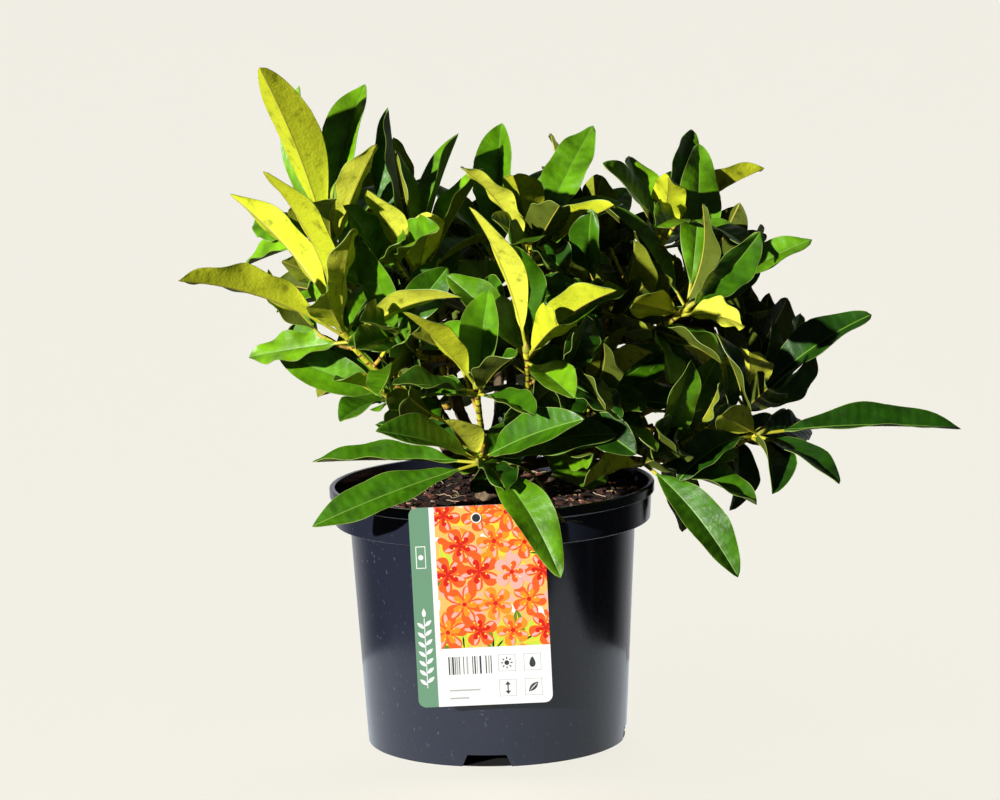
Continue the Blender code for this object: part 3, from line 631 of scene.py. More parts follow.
def twig_guard(shoot):
    """A twig with the bud at its tip, just above its whorl of leaves, and a little room round them."""
    path = shoot.twig + [shoot.whorl + shoot.axis * BUD_LENGTH * BUD_SHOULDER]
    radii = [TWIG_RADIUS + LEAF_GUARD] * len(shoot.twig) + [BUD_RADIUS + LEAF_GUARD]
    return tube(path, radii, TWIG_SIDES, shoot.whorl + shoot.axis * (BUD_LENGTH + LEAF_GUARD))


def leaf_axes(leaf):
    """The leaf's direction, its upper side's direction and the direction across it, half way along."""
    along = direction(leaf.heading, leaf.rise)
    inward = leaf.axis - along * leaf.axis.dot(along)
    if inward.length < 0.2:
        inward = UP - Vector((along.x, along.y, 0))
    normal = across(inward, along)
    if leaf.face is not None:
        side = along.cross(normal)
        middle = math.atan2(side.dot(FRONT), normal.dot(FRONT))
        swing = math.acos(leaf.face)
        turns = [math.remainder(middle + swing * sign, math.tau) for sign in (-1, 1)]
        normal = Quaternion(along, min(turns, key=abs)) @ normal
    return along, normal, along.cross(normal)


def leaf_frame(leaf, axes, t):
    """A point of the leaf's middle line, with the directions across the blade and out of its upper side."""
    along, normal, side = axes
    middle = leaf.root + along * leaf.length * t + normal * leaf.bow * leaf.length * 4 * t * (1 - t)
    tangent = unit(along + normal * leaf.bow * 4 * (1 - 2 * t))
    side = Quaternion(tangent, leaf.twist * (t - 0.5)) @ side
    return middle, side, side.cross(tangent)


def blade_outline(leaf, t):
    """Half the blade's width, which is most just past its middle and ends in a point."""
    share = (t - PETIOLE_SHARE) / (1 - PETIOLE_SHARE)
    widest = (LEAF_WIDTH + LEAF_WIDTH_SHARE * leaf.length) / 2
    return widest * max(0.0, math.sin(math.pi * min(share ** 1.1, 1))) ** 0.76


def half_width(leaf, t):
    """A slim stalk, then the blade."""
    if t <= PETIOLE_SHARE:
        return PETIOLE_HALF_WIDTH
    return max(PETIOLE_HALF_WIDTH, blade_outline(leaf, t))


def leaf_guard(leaf, start):
    """The solid leaf with a little room round it, from a share of its length to its tip."""
    axes = leaf_axes(leaf)
    thick = LEAF_THICKNESS / 2 + LEAF_GUARD
    rings = []
    for k in range(5):
        t = start + (1 - start) * k / 4
        middle, side, normal = leaf_frame(leaf, axes, t)
        width = half_width(leaf, t) + LEAF_GUARD
        lift = normal * leaf.fold * (width if t > PETIOLE_SHARE else 0)
        rings.append([middle - side * width + lift, middle + normal * thick,
                      middle + side * width + lift, middle - normal * thick])
    return lofted(rings)


class Space:
    """What already fills the crown: limbs and leaves, each with the whorl that owns it.

    Leaves of one whorl crowd together at their stalks, so only their blades have to stay clear of each other.
    """

    def __init__(self):
        self.taken = []

    @staticmethod
    def tree_of(shape):
        points, faces = shape
        low = Vector(map(min, zip(*points)))
        high = Vector(map(max, zip(*points)))
        return BVHTree.FromPolygons(points, faces), low, high

    def add(self, shape, whorl=None, blade=None):
        self.taken.append((self.tree_of(shape), self.tree_of(blade or shape), whorl))

    def clear_for(self, leaf, whorl):
        whole = self.tree_of(leaf_guard(leaf, ROOT_SHARE))
        blade = self.tree_of(leaf_guard(leaf, CROWDED_SHARE))
        for taken_whole, taken_blade, owner in self.taken:
            own = owner is whorl
            tree, low, high = blade if own else whole
            other, other_low, other_high = taken_blade if own else taken_whole
            apart = any(low[i] >= other_high[i] or other_low[i] >= high[i] for i in range(3))
            if not apart and tree.overlap(other):
                return False
        return True


def inside_crown(point):
    """The crown leans to the right as it comes down, and is deeper below its middle than above it."""
    offset = point - CROWN_CENTRE
    low = min(offset.z, 0)
    offset.x += CROWN_LEAN * low
    height = -low / CROWN_DEPTH if low else offset.z / CROWN_RADII.z
    return (offset.x / CROWN_RADII.x) ** 2 + (offset.y / CROWN_RADII.y) ** 2 + height ** 2 < 1


def make_leaf(shoot, number, heading, rise, length, face, chance):
    root = shoot.whorl - shoot.axis * LEAF_STEP * number
    bow = chance.uniform(0.02, 0.10) + (DROOP_BOW if rise < -20 else 0)
    fold = chance.uniform(0.18, 0.46)
    twist = math.radians(chance.uniform(-22, 22))
    return Leaf(root, shoot.axis, heading, rise, length, face, bow, fold, twist)


def place(leaf, shoot, space, keep_inside):
    """Adds the leaf to its shoot, nudged until it is clear of everything, or leaves it out."""
    for turn, lift, scale in NUDGES:
        nudged = replace(leaf, heading=leaf.heading + turn, rise=leaf.rise + lift, length=leaf.length * scale)
        tip = nudged.root + direction(nudged.heading, nudged.rise) * nudged.length
        if keep_inside and not inside_crown(tip):
            continue
        if space.clear_for(nudged, shoot.whorl):
            space.add(leaf_guard(nudged, ROOT_SHARE), shoot.whorl, leaf_guard(nudged, CROWDED_SHARE))
            shoot.leaves.append(nudged)
            return


def seeded(use, shoot):
    """Chance for one use at one shoot, the same in each run."""
    return random.Random(f"{use} {shoot.whorl.x:.3f} {shoot.whorl.z:.3f}")


def fill_whorl(shoot, count, tilt, wobble, lengths, scale, chance, space):
    """Leaves by the golden turn, each where there is room for it, until the whorl has enough."""
    first = chance.uniform(0, 360)
    side = across(Vector((1, 0, tilt)), shoot.axis)
    other = shoot.axis.cross(side)
    for number in range(2 * count):
        if len(shoot.leaves) >= count:
            break
        around = math.radians(first + GOLDEN_TURN * number)
        spread = math.radians(SPREADS[number % len(SPREADS)] + chance.uniform(-wobble, wobble))
        out = shoot.axis * math.cos(spread) + swung(side, other, around) * math.sin(spread)
        heading = math.degrees(math.atan2(out.y, out.x))
        rise = math.degrees(math.asin(max(-1, min(1, out.z))))
        length = scale * chance.uniform(*lengths)
        leaf = make_leaf(shoot, len(shoot.leaves), heading, rise, length, None, chance)
        place(leaf, shoot, space, True)


def grow_leaves(boughs, stems, shoots):
    """Marked leaves first, so that the others fit round them. Returns the space that is taken then."""
    space = Space()
    space.add(trunk_guard())
    space.add(lofted([circle(RIM_RADIUS + LEAF_GUARD, height, POT_STEPS)
                      for height in (0, POT_HEIGHT + LEAF_GUARD)]))
    space.add(card_room())
    for mass, bough in boughs.items():
        space.add(bough_guard(bough))
        space.add(stem_guard(stems[mass]))
    for shoot in shoots:
        space.add(twig_guard(shoot), shoot.whorl)
    for shoot in shoots:
        chance = seeded("marked", shoot)
        steepest_first = sorted(shoot.marked, key=lambda row: -row[1])
        for row in shoot.marked:
            leaf = make_leaf(shoot, steepest_first.index(row), *row, chance)
            place(leaf, shoot, space, False)
    for shoot in shoots:
        fill_whorl(shoot, LEAVES_PER_SHOOT, 0, 6, LEAF_SCALES, LEAF_LENGTH, seeded("others", shoot), space)
    return space


def grow_fine_shoots(shoots, space):
    """Side twigs with a few smaller leaves inside the crown, where there is room for them."""
    fine = []
    for shoot in shoots:
        chance = seeded("fine", shoot)
        for share in FINE_TWIG_PLACES:
            aim = shoot.twig[0].lerp(shoot.twig[-1], share)
            foot = min(shoot.twig, key=lambda point: (point - aim).length)
            along = unit(shoot.axis + direction(chance.uniform(0, 360), chance.uniform(-30, 30)) * 1.1)
            whorl = foot + along * chance.uniform(*FINE_TWIG_LENGTH)
            if not inside_crown(CROWN_CENTRE + (whorl - CROWN_CENTRE) / FINE_REACH):
                continue
            bend = foot + along * (whorl - foot).length * 0.5 - UP * FINE_TWIG_SAG
            side_shoot = Shoot(shoot.mass, whorl, along, bezier(foot, bend, whorl, 3), [], [])
            fill_whorl(side_shoot, FINE_LEAVES, 0.1, 8, FINE_LEAF_LENGTH, 1, chance, space)
            if side_shoot.leaves:
                space.add(twig_guard(side_shoot), whorl)
                fine.append(side_shoot)
    return fine


# Materials and pieces

def plain_material(name, colour, roughness, **inputs):
    made = bpy.data.materials.new(name)
    made.use_nodes = True
    shader = made.node_tree.nodes["Principled BSDF"]
    shader.inputs["Base Color"].default_value = (*colour, 1)
    shader.inputs["Roughness"].default_value = roughness
    for key, value in inputs.items():
        shader.inputs[key.replace("_", " ")].default_value = value
    return made


def noise_texture(made, scale, detail=3.0, stretch=(1, 1, 1)):
    """A noise in the object's own metres, which other nodes read."""
    tree = made.node_tree
    place_of = tree.nodes.new("ShaderNodeTexCoord")
    mapping = tree.nodes.new("ShaderNodeMapping")
    mapping.inputs["Scale"].default_value = stretch
    texture = tree.nodes.new("ShaderNodeTexNoise")
    texture.inputs["Scale"].default_value = scale
    texture.inputs["Detail"].default_value = detail
    tree.links.new(place_of.outputs["Object"], mapping.inputs["Vector"])
    tree.links.new(mapping.outputs["Vector"], texture.inputs["Vector"])
    return texture


def add_bump(made, scale, height, strength, detail=3.0, stretch=(1, 1, 1)):
    """Fine relief on the shader's normal, one bump on top of another where it is called again."""
    tree = made.node_tree
    shader = tree.nodes["Principled BSDF"]
    texture = noise_texture(made, scale, detail, stretch)
    bump = tree.nodes.new("ShaderNodeBump")
    bump.inputs["Strength"].default_value = strength
    bump.inputs["Distance"].default_value = height
    tree.links.new(texture.outputs["Fac"], bump.inputs["Height"])
    if shader.inputs["Normal"].is_linked:
        tree.links.new(shader.inputs["Normal"].links[0].from_socket, bump.inputs["Normal"])
    tree.links.new(bump.outputs["Normal"], shader.inputs["Normal"])


def vary_colour(made, colours, scale, low=0.35, high=0.65, detail=3.0, stretch=(1, 1, 1)):
    """The base colour drifts between the colours as a noise goes from low to high."""
    tree = made.node_tree
    ramp = tree.nodes.new("ShaderNodeValToRGB")
    while len(ramp.color_ramp.elements) < len(colours):
        ramp.color_ramp.elements.new(0.5)
    for i, colour in enumerate(colours):
        ramp.color_ramp.elements[i].position = low + (high - low) * i / (len(colours) - 1)
        ramp.color_ramp.elements[i].color = (*colour, 1)
    texture = noise_texture(made, scale, detail, stretch)
    tree.links.new(texture.outputs["Fac"], ramp.inputs["Fac"])
    tree.links.new(ramp.outputs["Color"], tree.nodes["Principled BSDF"].inputs["Base Color"])


def vary_roughness(made, low, high, scale, detail=3.0, stretch=(1, 1, 1)):
    tree = made.node_tree
    spread = tree.nodes.new("ShaderNodeMapRange")
    spread.inputs["From Min"].default_value = 0.35
    spread.inputs["From Max"].default_value = 0.65
    spread.inputs["To Min"].default_value = low
    spread.inputs["To Max"].default_value = high
    texture = noise_texture(made, scale, detail, stretch)
    tree.links.new(texture.outputs["Fac"], spread.inputs["Value"])
    tree.links.new(spread.outputs["Result"], tree.nodes["Principled BSDF"].inputs["Roughness"])


def tint(colour, factor):
    return tuple(min(1, channel * factor) for channel in colour)


def shades(colour, dark, light):
    return tint(colour, dark), colour, tint(colour, light)


def new_object(name, points, faces):
    """An object of the scene with its faces turned outwards."""
    mesh = bpy.data.meshes.new(name)
    mesh.from_pydata([tuple(point) for point in points], [], faces)
    shape = bmesh.new()
    shape.from_mesh(mesh)
    bmesh.ops.recalc_face_normals(shape, faces=shape.faces)
    shape.to_mesh(mesh)
    shape.free()
    obj = bpy.data.objects.new(name, mesh)
    bpy.context.scene.collection.objects.link(obj)
    return obj


class Gathered:
    """Shapes that become one object, each with the number of the material that it shows."""

    def __init__(self):
        self.points = []
        self.faces = []
        self.finishes = []

    def add(self, shape, finish=0):
        points, faces = shape
        start = len(self.points)
        self.points.extend(points)
        self.faces.extend(tuple(start + i for i in face) for face in faces)
        self.finishes.extend(finish if isinstance(finish, list) else [finish] * len(faces))

    def build(self, name, materials, slot, smooth_angle=40, replaces=()):
        obj = new_object(name, self.points, self.faces)
        for made in materials:
            obj.data.materials.append(made)
        obj.data.polygons.foreach_set("material_index", self.finishes)
        obj.data.shade_smooth()
        obj.data.set_sharp_from_angle(angle=math.radians(smooth_angle))
        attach(obj, "root")
        if replaces:
            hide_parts(*replaces)
        return obj


def build_one(shape, *looks):
    """One shape as one object, with what Gathered.build asks for."""
    gathered = Gathered()
    gathered.add(shape)
    return gathered.build(*looks)


def cut_away(obj, cutters):
    for cutter in cutters:
        boolean = obj.modifiers.new("Cut", "BOOLEAN")
        boolean.operation = "DIFFERENCE"
        boolean.object = cutter
        boolean.solver = "EXACT"
    bpy.context.view_layer.update()
    graph = bpy.context.evaluated_depsgraph_get()
    result = bpy.data.meshes.new_from_object(obj.evaluated_get(graph))
    obj.modifiers.clear()
    obj.data = result
    for cutter in cutters:
        bpy.data.objects.remove(cutter)


# Leaves

def smooth_step(value):
    value = max(0.0, min(1.0, value))
    return value * value * (3 - 2 * value)


def blade_half_width(leaf, t):
    """The solid leaf's outline, drawn out to a point at its tip."""
    if (t - PETIOLE_SHARE) / (1 - PETIOLE_SHARE) < 0.6:
        return half_width(leaf, t)
    return blade_outline(leaf, t) + TIP_HALF_WIDTH


def leaf_columns(width):
    """Where the rows' points lie across the leaf, from -1 to 1: margin, blade, midrib, blade and margin."""
    rib = min(RIB_HALF_WIDTH / width, 0.3)
    margin = 1 - min(MARGIN_WIDTH / width, 0.2)
    half = [rib, rib + (margin - rib) / 3, rib + (margin - rib) * 2 / 3, margin, 1]
    return [-u for u in reversed(half)] + [0] + half


def detailed_leaf(leaf, chance, tones):
    """A leaf as one closed skin with a grooved midrib, veins that lean forward and a wavy, rolled margin.

    tones are the materials' numbers for upper side, underside, midrib, margin, midrib below and stalk.
    """
    axes = leaf_axes(leaf)
    veins = max(6, round(leaf.length * (1 - PETIOLE_SHARE) / VEIN_SPACING))
    steps = veins * len(VEIN_PROFILE)
    shares = STALK_ROWS + [PETIOLE_SHARE + (1 - PETIOLE_SHARE) * LAST_ROW * (k + 0.3) / steps
                           for k in range(steps)]
    wave_count = chance.uniform(*WAVE_COUNT)
    wave_shift = [chance.uniform(0, math.tau) for _ in range(2)]
    wave_height = WAVE_HEIGHT * chance.uniform(*WAVE_GAIN)
    fold = leaf.fold * chance.uniform(*FOLD_GAIN)
    rings = []
    for row, start in enumerate(shares):
        blade = smooth_step((start - PETIOLE_SHARE) / 0.10)
        sunk = VEIN_RELIEF * VEIN_PROFILE[row % len(VEIN_PROFILE)]
        upper, lower = [], []
        for u in leaf_columns(blade_half_width(leaf, start)):
            reach = abs(u)
            t = start + VEIN_LEAN * reach * half_width(leaf, start) / leaf.length * blade * (1 - start)
            middle, side, normal = leaf_frame(leaf, axes, t)
            width = blade_half_width(leaf, t)
            rib = math.exp(-(u * width / RIB_HALF_WIDTH) ** 2)
            arch = 4 * reach * (1 - reach)
            wave = wave_height * reach ** 3 * math.sin(math.tau * wave_count * t + wave_shift[u > 0])
            roll = MARGIN_ROLL * max(0.0, reach - 0.8) / 0.2
            lift = blade * (fold * width * reach ** 1.25 + wave - roll)
            thin = BLADE_THICKNESS + (MARGIN_THICKNESS - BLADE_THICKNESS) * reach ** 2
            round_stalk = STALK_THICKNESS * math.sqrt(max(0.04, 1 - reach ** 2))
            thick = round_stalk + (thin - round_stalk) * blade
            fade = blade * (1 - smooth_step((t - 0.9) / 0.1) * 0.8)
            over = thick / 2 - fade * (RIB_GROOVE * rib + sunk * arch)
            ridge = RIB_RIDGE * rib * (1 - t) ** 0.5
            under = thick / 2 + fade * (ridge + UNDERSIDE_RELIEF * sunk * arch)
            point = middle + side * u * width + normal * lift
            upper.append(point + normal * over)
            lower.append(point - normal * under)
        rings.append(upper + lower[::-1])
    points, faces = lofted(rings + [[leaf_frame(leaf, axes, 1)[0]]])
    numbers = []
    for row in range(len(rings)):
        stalk = shares[row] < PETIOLE_SHARE
        numbers += [tones[5] if stalk else tones[STRIPS[i]] for i in range(len(STRIPS))]
    numbers.append(tones[5])
    return (points, faces), numbers


def leaf_materials():
    made = []
    for i, colour in enumerate(LEAF_TOPS):
        top = plain_material(f"leaf_top_{i + 1}", colour, 0.4, Specular_IOR_Level=0.5)
        vary_colour(top, shades(colour, 0.66, 1.35), 80, 0.34, 0.68, 6.0)
        vary_roughness(top, 0.32, 0.50, 60)
        add_bump(top, 330, 0.0006, 0.6, 4.0)
        made.append(top)
    for i, colour in enumerate(LEAF_UNDERSIDES):
        under = plain_material(f"leaf_underside_{i + 1}", colour, 0.62, Specular_IOR_Level=0.2)
        vary_colour(under, shades(colour, 0.55, 1.12), 130, 0.30, 0.52, 6.0)
        add_bump(under, 520, 0.0006, 0.6, 4.0)
        made.append(under)
    return made + [plain_material(name, colour, roughness) for name, colour, roughness in LEAF_TRIMS]


def leaf_tones(shoot_tone, leaf, chance):
    """Numbers in leaf_materials() for one leaf: its spray's tone, a step lighter or darker now and then."""
    tops, unders = len(LEAF_TOPS), len(LEAF_UNDERSIDES)
    top = min(tops - 1, max(0, shoot_tone + chance.choice((-1, 0, 0, 0, 1))))
    # Undersides turned to the front take the two yellows; all others take one of the two darker ones, painted
    # shade.
    under = chance.choice((0, 0, 1))
    if leaf.face is not None and leaf.face < 0:
        under = chance.choice((unders - 2, unders - 1))
    return (top, tops + under, tops + unders, tops + unders + 1, tops + unders + 2, tops + unders + 3)


def make_leaves(shoots, fine):
    materials = leaf_materials()
    for mass in CROWN:
        gathered = Gathered()
        for group, sprays in enumerate((shoots, fine)):
            for shoot in sprays:
                if shoot.mass != mass:
                    continue
                chance = seeded("tone", shoot)
                # Tops are darker low in the crown and lighter high in it; the fine sprays inside it take one
                # step darker, painted shade.
                height = (shoot.whorl.z - SOIL_TOP) / (CROWN_CENTRE.z - SOIL_TOP)
                tone = round(TONE_SPAN * height + chance.uniform(*TONE_CHANCE)) - group
                for leaf in shoot.leaves:
                    tones = leaf_tones(tone, leaf, chance)
                    gathered.add(*detailed_leaf(leaf, chance, tones))
        gathered.build(f"leaves_{mass}", materials, "foliage", 50, [f"foliage_{mass}"])


# Bark, twigs and buds

def resampled(path, step):
    """Points a step apart along a path."""
    points = [path[0]]
    for start, end in zip(path, path[1:]):
        count = max(1, round((end - start).length / step))
        points += [start.lerp(end, i / count) for i in range(1, count + 1)]
    return points


def bark_shape(path, radius_at, sides, relief, foot_share=0.0):
    """A limb with ridges along it and a raised ring at each old leaf scar, and the finish of each face.

    Finishes are 0 for young bark, 1 for the older bark up to foot_share of its length and 2 for a scar.
    """
    points = resampled(path, BARK_STEP)
    rings = []
    finishes = []
    walked = 0.0
    last = len(points) - 1
    for i, (point, along, side, other) in enumerate(frames_along(points)):
        walked += (point - points[max(i - 1, 0)]).length
        off = (walked % SCAR_SPACING) - SCAR_SPACING / 2
        scar = SCAR_SWELL * math.exp(-(off / SCAR_WIDTH) ** 2)
        ring = []
        for k in range(sides):
            angle = math.tau * k / sides
            out = swung(side, other, angle)
            rough = noise.noise(out * 2.6 + along * walked * 160 + point * 40)
            turn = 0.5 + 0.5 * math.cos(angle + walked * 290)
            ring.append(point + out * radius_at(i / last) * (1 - relief + relief * rough + scar * turn))
        rings.append(ring)
        if i < last:
            plain = 1 if i < foot_share * last else 0
            finishes += [2 if scar > SCAR_SWELL / 2 and k < sides * 0.7 else plain for k in range(sides)]
    return lofted(rings), finishes + [1, 0]


def bark_material(name, colours, height):
    made = plain_material(name, colours[0], 0.75)
    vary_colour(made, colours, 210, 0.35, 0.66, 5.0, (1, 1, 0.35))
    add_bump(made, 900, height, 0.6, 5.0, (1, 1, 0.3))
    return made


def make_trunk(bark):
    """The trunk with rough, furrowed bark and a rounded top."""
    rings = []
    for step in range(TRUNK_STEPS + 1):
        height = TRUNK_HEIGHT * step / TRUNK_STEPS
        ring = []
        for corner in circle(1, 0, TRUNK_STEPS):
            rough = noise.noise(Vector((corner.x * 2.2, corner.y * 2.2, height * 60)))
            furrow = noise.noise(Vector((corner.x * 7, corner.y * 7, height * 40 + 9)))
            swell = trunk_radius(height) * (1 + BARK_RELIEF * (rough + 0.8 * furrow - 0.4))
            ring.append(trunk_point(height) + corner * swell)
        rings.append(ring)
    crest = trunk_point(TRUNK_HEIGHT + TRUNK_TOP_RADIUS / 2)
    shoulder = [crest.lerp(point, 0.55) + UP * 0.0004 for point in rings[-1]]
    build_one(lofted(rings + [shoulder, [crest]]), "trunk_bark", [bark], "bark", 60, ["trunk"])


def stem_radius(share):
    return STEM_RADIUS * STEM_GAIN * (1 - 0.15 * share)


def twig_bark(shoot, radius):
    """A twig that swells where its whorl stands."""
    length = (shoot.twig[-1] - shoot.twig[0]).length

    def radius_at(share):
        node = NODE_SWELL * math.exp(-((1 - share) * length / NODE_LENGTH) ** 2)
        return radius * (1.12 - 0.12 * share + node)

    return bark_shape(shoot.twig, radius_at, 12, 0.05, 0.4)


def bud_shape(shoot, scale):
    """A pointed bud, wrapped in scales that wind up it."""
    side = across(Vector((1, 0, 0.2)), shoot.axis)
    other = shoot.axis.cross(side)
    rings = []
    for i in range(BUD_RINGS):
        share = i / BUD_RINGS
        centre = shoot.whorl + shoot.axis * (share * BUD_LENGTH * scale - 0.001)
        swell = BUD_RADIUS * scale * math.sin(math.pi * (0.28 + 0.72 * share)) ** 0.8
        ring = []
        for k in range(BUD_SIDES):
            turn = math.tau * k / BUD_SIDES
            overlap = ((BUD_SCALES * turn / math.tau + 3.2 * share) % 1) * 0.16
            ring.append(centre + swung(side, other, turn) * swell * (0.9 + overlap))
        rings.append(ring)
    return lofted(rings + [[shoot.whorl + shoot.axis * BUD_LENGTH * scale]])


def make_limbs(boughs, stems, shoots, fine):
    """Bark for the trunk and each bough, one piece of twigs and one of buds."""
    barks = [bark_material(name, shades(*tones), height) for name, tones, height in BARKS]
    old, young, orange, scarred = barks
    make_trunk(old)
    for mass, path in boughs.items():
        limb = bark_shape(path, bough_radius, BARK_SIDES, BARK_RELIEF)[0]
        build_one(limb, f"bark_{mass}", [old], "bark", 60, [f"bough_{mass}"])
    twigs = Gathered()
    for path in stems.values():
        twigs.add(*bark_shape(path, stem_radius, 14, 0.06, 1.0))
    buds = Gathered()
    for sprays, radius, bud_scale in ((shoots, TWIG_RADIUS, 1.0), (fine, FINE_TWIG_RADIUS, 0.6)):
        for shoot in sprays:
            twigs.add(*twig_bark(shoot, radius))
            buds.add(bud_shape(shoot, bud_scale))
    twigs.build("twigs", [young, orange, scarred], "bark", 60)
    scales = plain_material("bud_scales", BUD_GREEN, 0.45)
    vary_colour(scales, (tint(BUD_GREEN, 0.6), BUD_GREEN, BUD_BROWN), 260)
    add_bump(scales, 900, 0.0003, 0.4)
    buds.build("buds", [scales], "foliage", 50)


def smooth_path(points, steps):
    """A smooth curve through the points."""
    path = []
    ends = [points[0] * 2 - points[1], *points, points[-1] * 2 - points[-2]]
    for a, b, c, d in zip(ends, ends[1:], ends[2:], ends[3:]):
        for step in range(steps):
            t = step / steps
            path.append((b * 2 + (c - a) * t + (a * 2 - b * 5 + c * 4 - d) * t ** 2
                         + (b * 3 - a - c * 3 + d) * t ** 3) / 2)
    return path + [points[-1]]


def make_dry_stalk():
    """An old leaf stalk that lies over the pot's lip, with a thread of fibre at its end."""
    path = smooth_path([Vector(point) for point in DRY_STALK], 6)

    def radius_at(share):
        return DRY_RADIUS * (0.85 + 0.5 * math.exp(-((share - 0.78) / 0.16) ** 2) - 0.35 * share)

    green = bark_material("dry_stalk", (DRY_BROWN, DRY_GREEN, tint(DRY_GREEN, 1.3)), 0.0005)
    build_one(bark_shape(path, radius_at, 14, 0.16)[0], "dry_stalk", [green], "foliage", 60)
    path = smooth_path([path[-1] - Vector((0.002, 0, 0))] + [Vector(point) for point in DRY_THREAD], 6)
    radii = [THREAD_RADIUS * (1 - 0.5 * i / len(path)) for i in range(len(path))]
    straw = plain_material("dry_thread", DRY_STRAW, 0.8)
    build_one(tube(path, radii, 7), "dry_thread", [straw], "foliage", 60)


# Pot

def rounded_profile():
    """The solid pot's profile with its lip, collar and foot rounded."""
    profile = [Vector(point) for point in pot_profile()]
    rounded = [profile[0]]
    for before, corner, after in zip(profile, profile[1:], profile[2:]):
        back, on = before - corner, after - corner
        cut = min(POT_ROUND, back.length * 0.4, on.length * 0.4)
        rounded += bezier(corner + back.normalized() * cut, corner, corner + on.normalized() * cut, 3)
    return rounded + [profile[-1]]


def pot_material():
    """Glossy recycled plastic, blue-black, with rubbed and dusty patches and fine scratches."""
    made = plain_material("pot_plastic", POT_COLOUR, 0.2)
    vary_colour(made, (POT_COLOUR, POT_DUST), 420, 0.67, 0.76, 2.0, (1, 1, 0.6))
    vary_roughness(made, 0.10, 0.20, 26, 5.0, (1, 1, 0.5))
    add_bump(made, 60, 0.0012, 0.06, 2.0, (1, 1, 0.5))
    add_bump(made, 240, 0.0002, 0.25, 5.0, (6, 6, 0.5))
    return made


def notch_block(heading):
    outline = [(-NOTCH_FOOT_WIDTH / 2, -WALL), (NOTCH_FOOT_WIDTH / 2, -WALL),
               (NOTCH_TOP_WIDTH / 2, NOTCH_HEIGHT), (-NOTCH_TOP_WIDTH / 2, NOTCH_HEIGHT)]
    turn = Matrix.Rotation(heading, 3, "Z")
    return lofted([[turn @ Vector((radius, y, z)) for y, z in outline]
                   for radius in (BASE_RADIUS - NOTCH_REACH, BASE_RADIUS + NOTCH_REACH)])


def make_pot():
    rings = [[Vector((0, 0, point.y))] if point.x < 1e-6 else circle(point.x, point.y, FINE_POT_STEPS)
             for point in rounded_profile()]
    shell = build_one(lofted(rings), "pot_shell", [pot_material()], "pot_plastic", 50, ["pot"])
    headings = [NOTCH_TURN + math.tau * i / NOTCHES for i in range(NOTCHES)]
    cutters = [new_object("notch_cutter", *notch_block(heading)) for heading in headings]
    for heading in headings:
        centre = Matrix.Rotation(heading + math.pi / NOTCHES, 3, "Z") @ Vector((DRAIN_CIRCLE, 0, 0))
        hole = [[centre + point for point in circle(DRAIN_RADIUS, height, HOLE_STEPS)]
                for height in (FOOT_RECESS - WALL, FOOT_RECESS + 2 * WALL)]
        cutters.append(new_object("drain_cutter", *lofted(hole)))
    cut_away(shell, cutters)
    shell.data.set_sharp_from_angle(angle=math.radians(40))


# Compost

def on_soil(x, y, lift=0.0):
    """A point over the compost, which has crumbs and hollows above the root ball and below the pot's lip."""
    height = SOIL_TOP + SOIL_LIFT
    for scale, level, depth in SOIL_RELIEF:
        height += depth * noise.noise(Vector((x * scale, y * scale, level)))
    return Vector((x, y, height + lift))


def scattered(chance, edge, least):
    """A place at random in a circle, as x and y."""
    reach = edge * math.sqrt(chance.uniform(least, 1))
    turn = chance.uniform(0, math.tau)
    return reach * math.cos(turn), reach * math.sin(turn)


def chip_shape(centre, chance):
    """A splintered flake of bark, tilted at random and half sunk."""
    long, wide, thick = [chance.uniform(*span) for span in CHIP_SIZES]
    tilt_axis = Vector((chance.uniform(-1, 1), chance.uniform(-1, 1), 0.1)).normalized()
    tilt = Quaternion(tilt_axis, chance.uniform(-0.55, 0.55))
    turn = Quaternion(UP, chance.uniform(0, math.tau))
    sides = chance.choice((5, 6, 7))
    rings = []
    for level in (-1, 0.3, 1):
        shrink = 0.75 if level == 1 else 1.0
        ring = []
        for k in range(sides):
            angle = math.tau * k / sides
            out = Vector((long * math.cos(angle), wide * math.sin(angle), 0)) * shrink
            out *= chance.uniform(0.7, 1.1)
            rough = thick * level + chance.uniform(-1, 1) * thick * 0.25
            ring.append(centre + tilt @ (turn @ (out + UP * rough)) + UP * 0.0004)
        rings.append(ring)
    return lofted(rings)


def fibre_path(chance, edge):
    """A bent fibre that lies on the compost, with its middle a little raised."""
    start = Vector((*scattered(chance, edge - 0.012, 0.04), 0))
    along = direction(chance.uniform(0, 360), 0)
    bend = across(Vector((chance.uniform(-1, 1), chance.uniform(-1, 1), 0)) + along * 0.01, along)
    length = chance.uniform(*FIBRE_LENGTH)
    path = []
    for k in range(FIBRE_POINTS):
        t = k / (FIBRE_POINTS - 1) - 0.5
        point = start + along * length * t + bend * length * 0.35 * (0.25 - t * t)
        if point.length > edge - 0.003:
            point *= (edge - 0.003) / point.length
        path.append(on_soil(point.x, point.y, 0.0008 + 0.002 * (0.25 - t * t)))
    return path


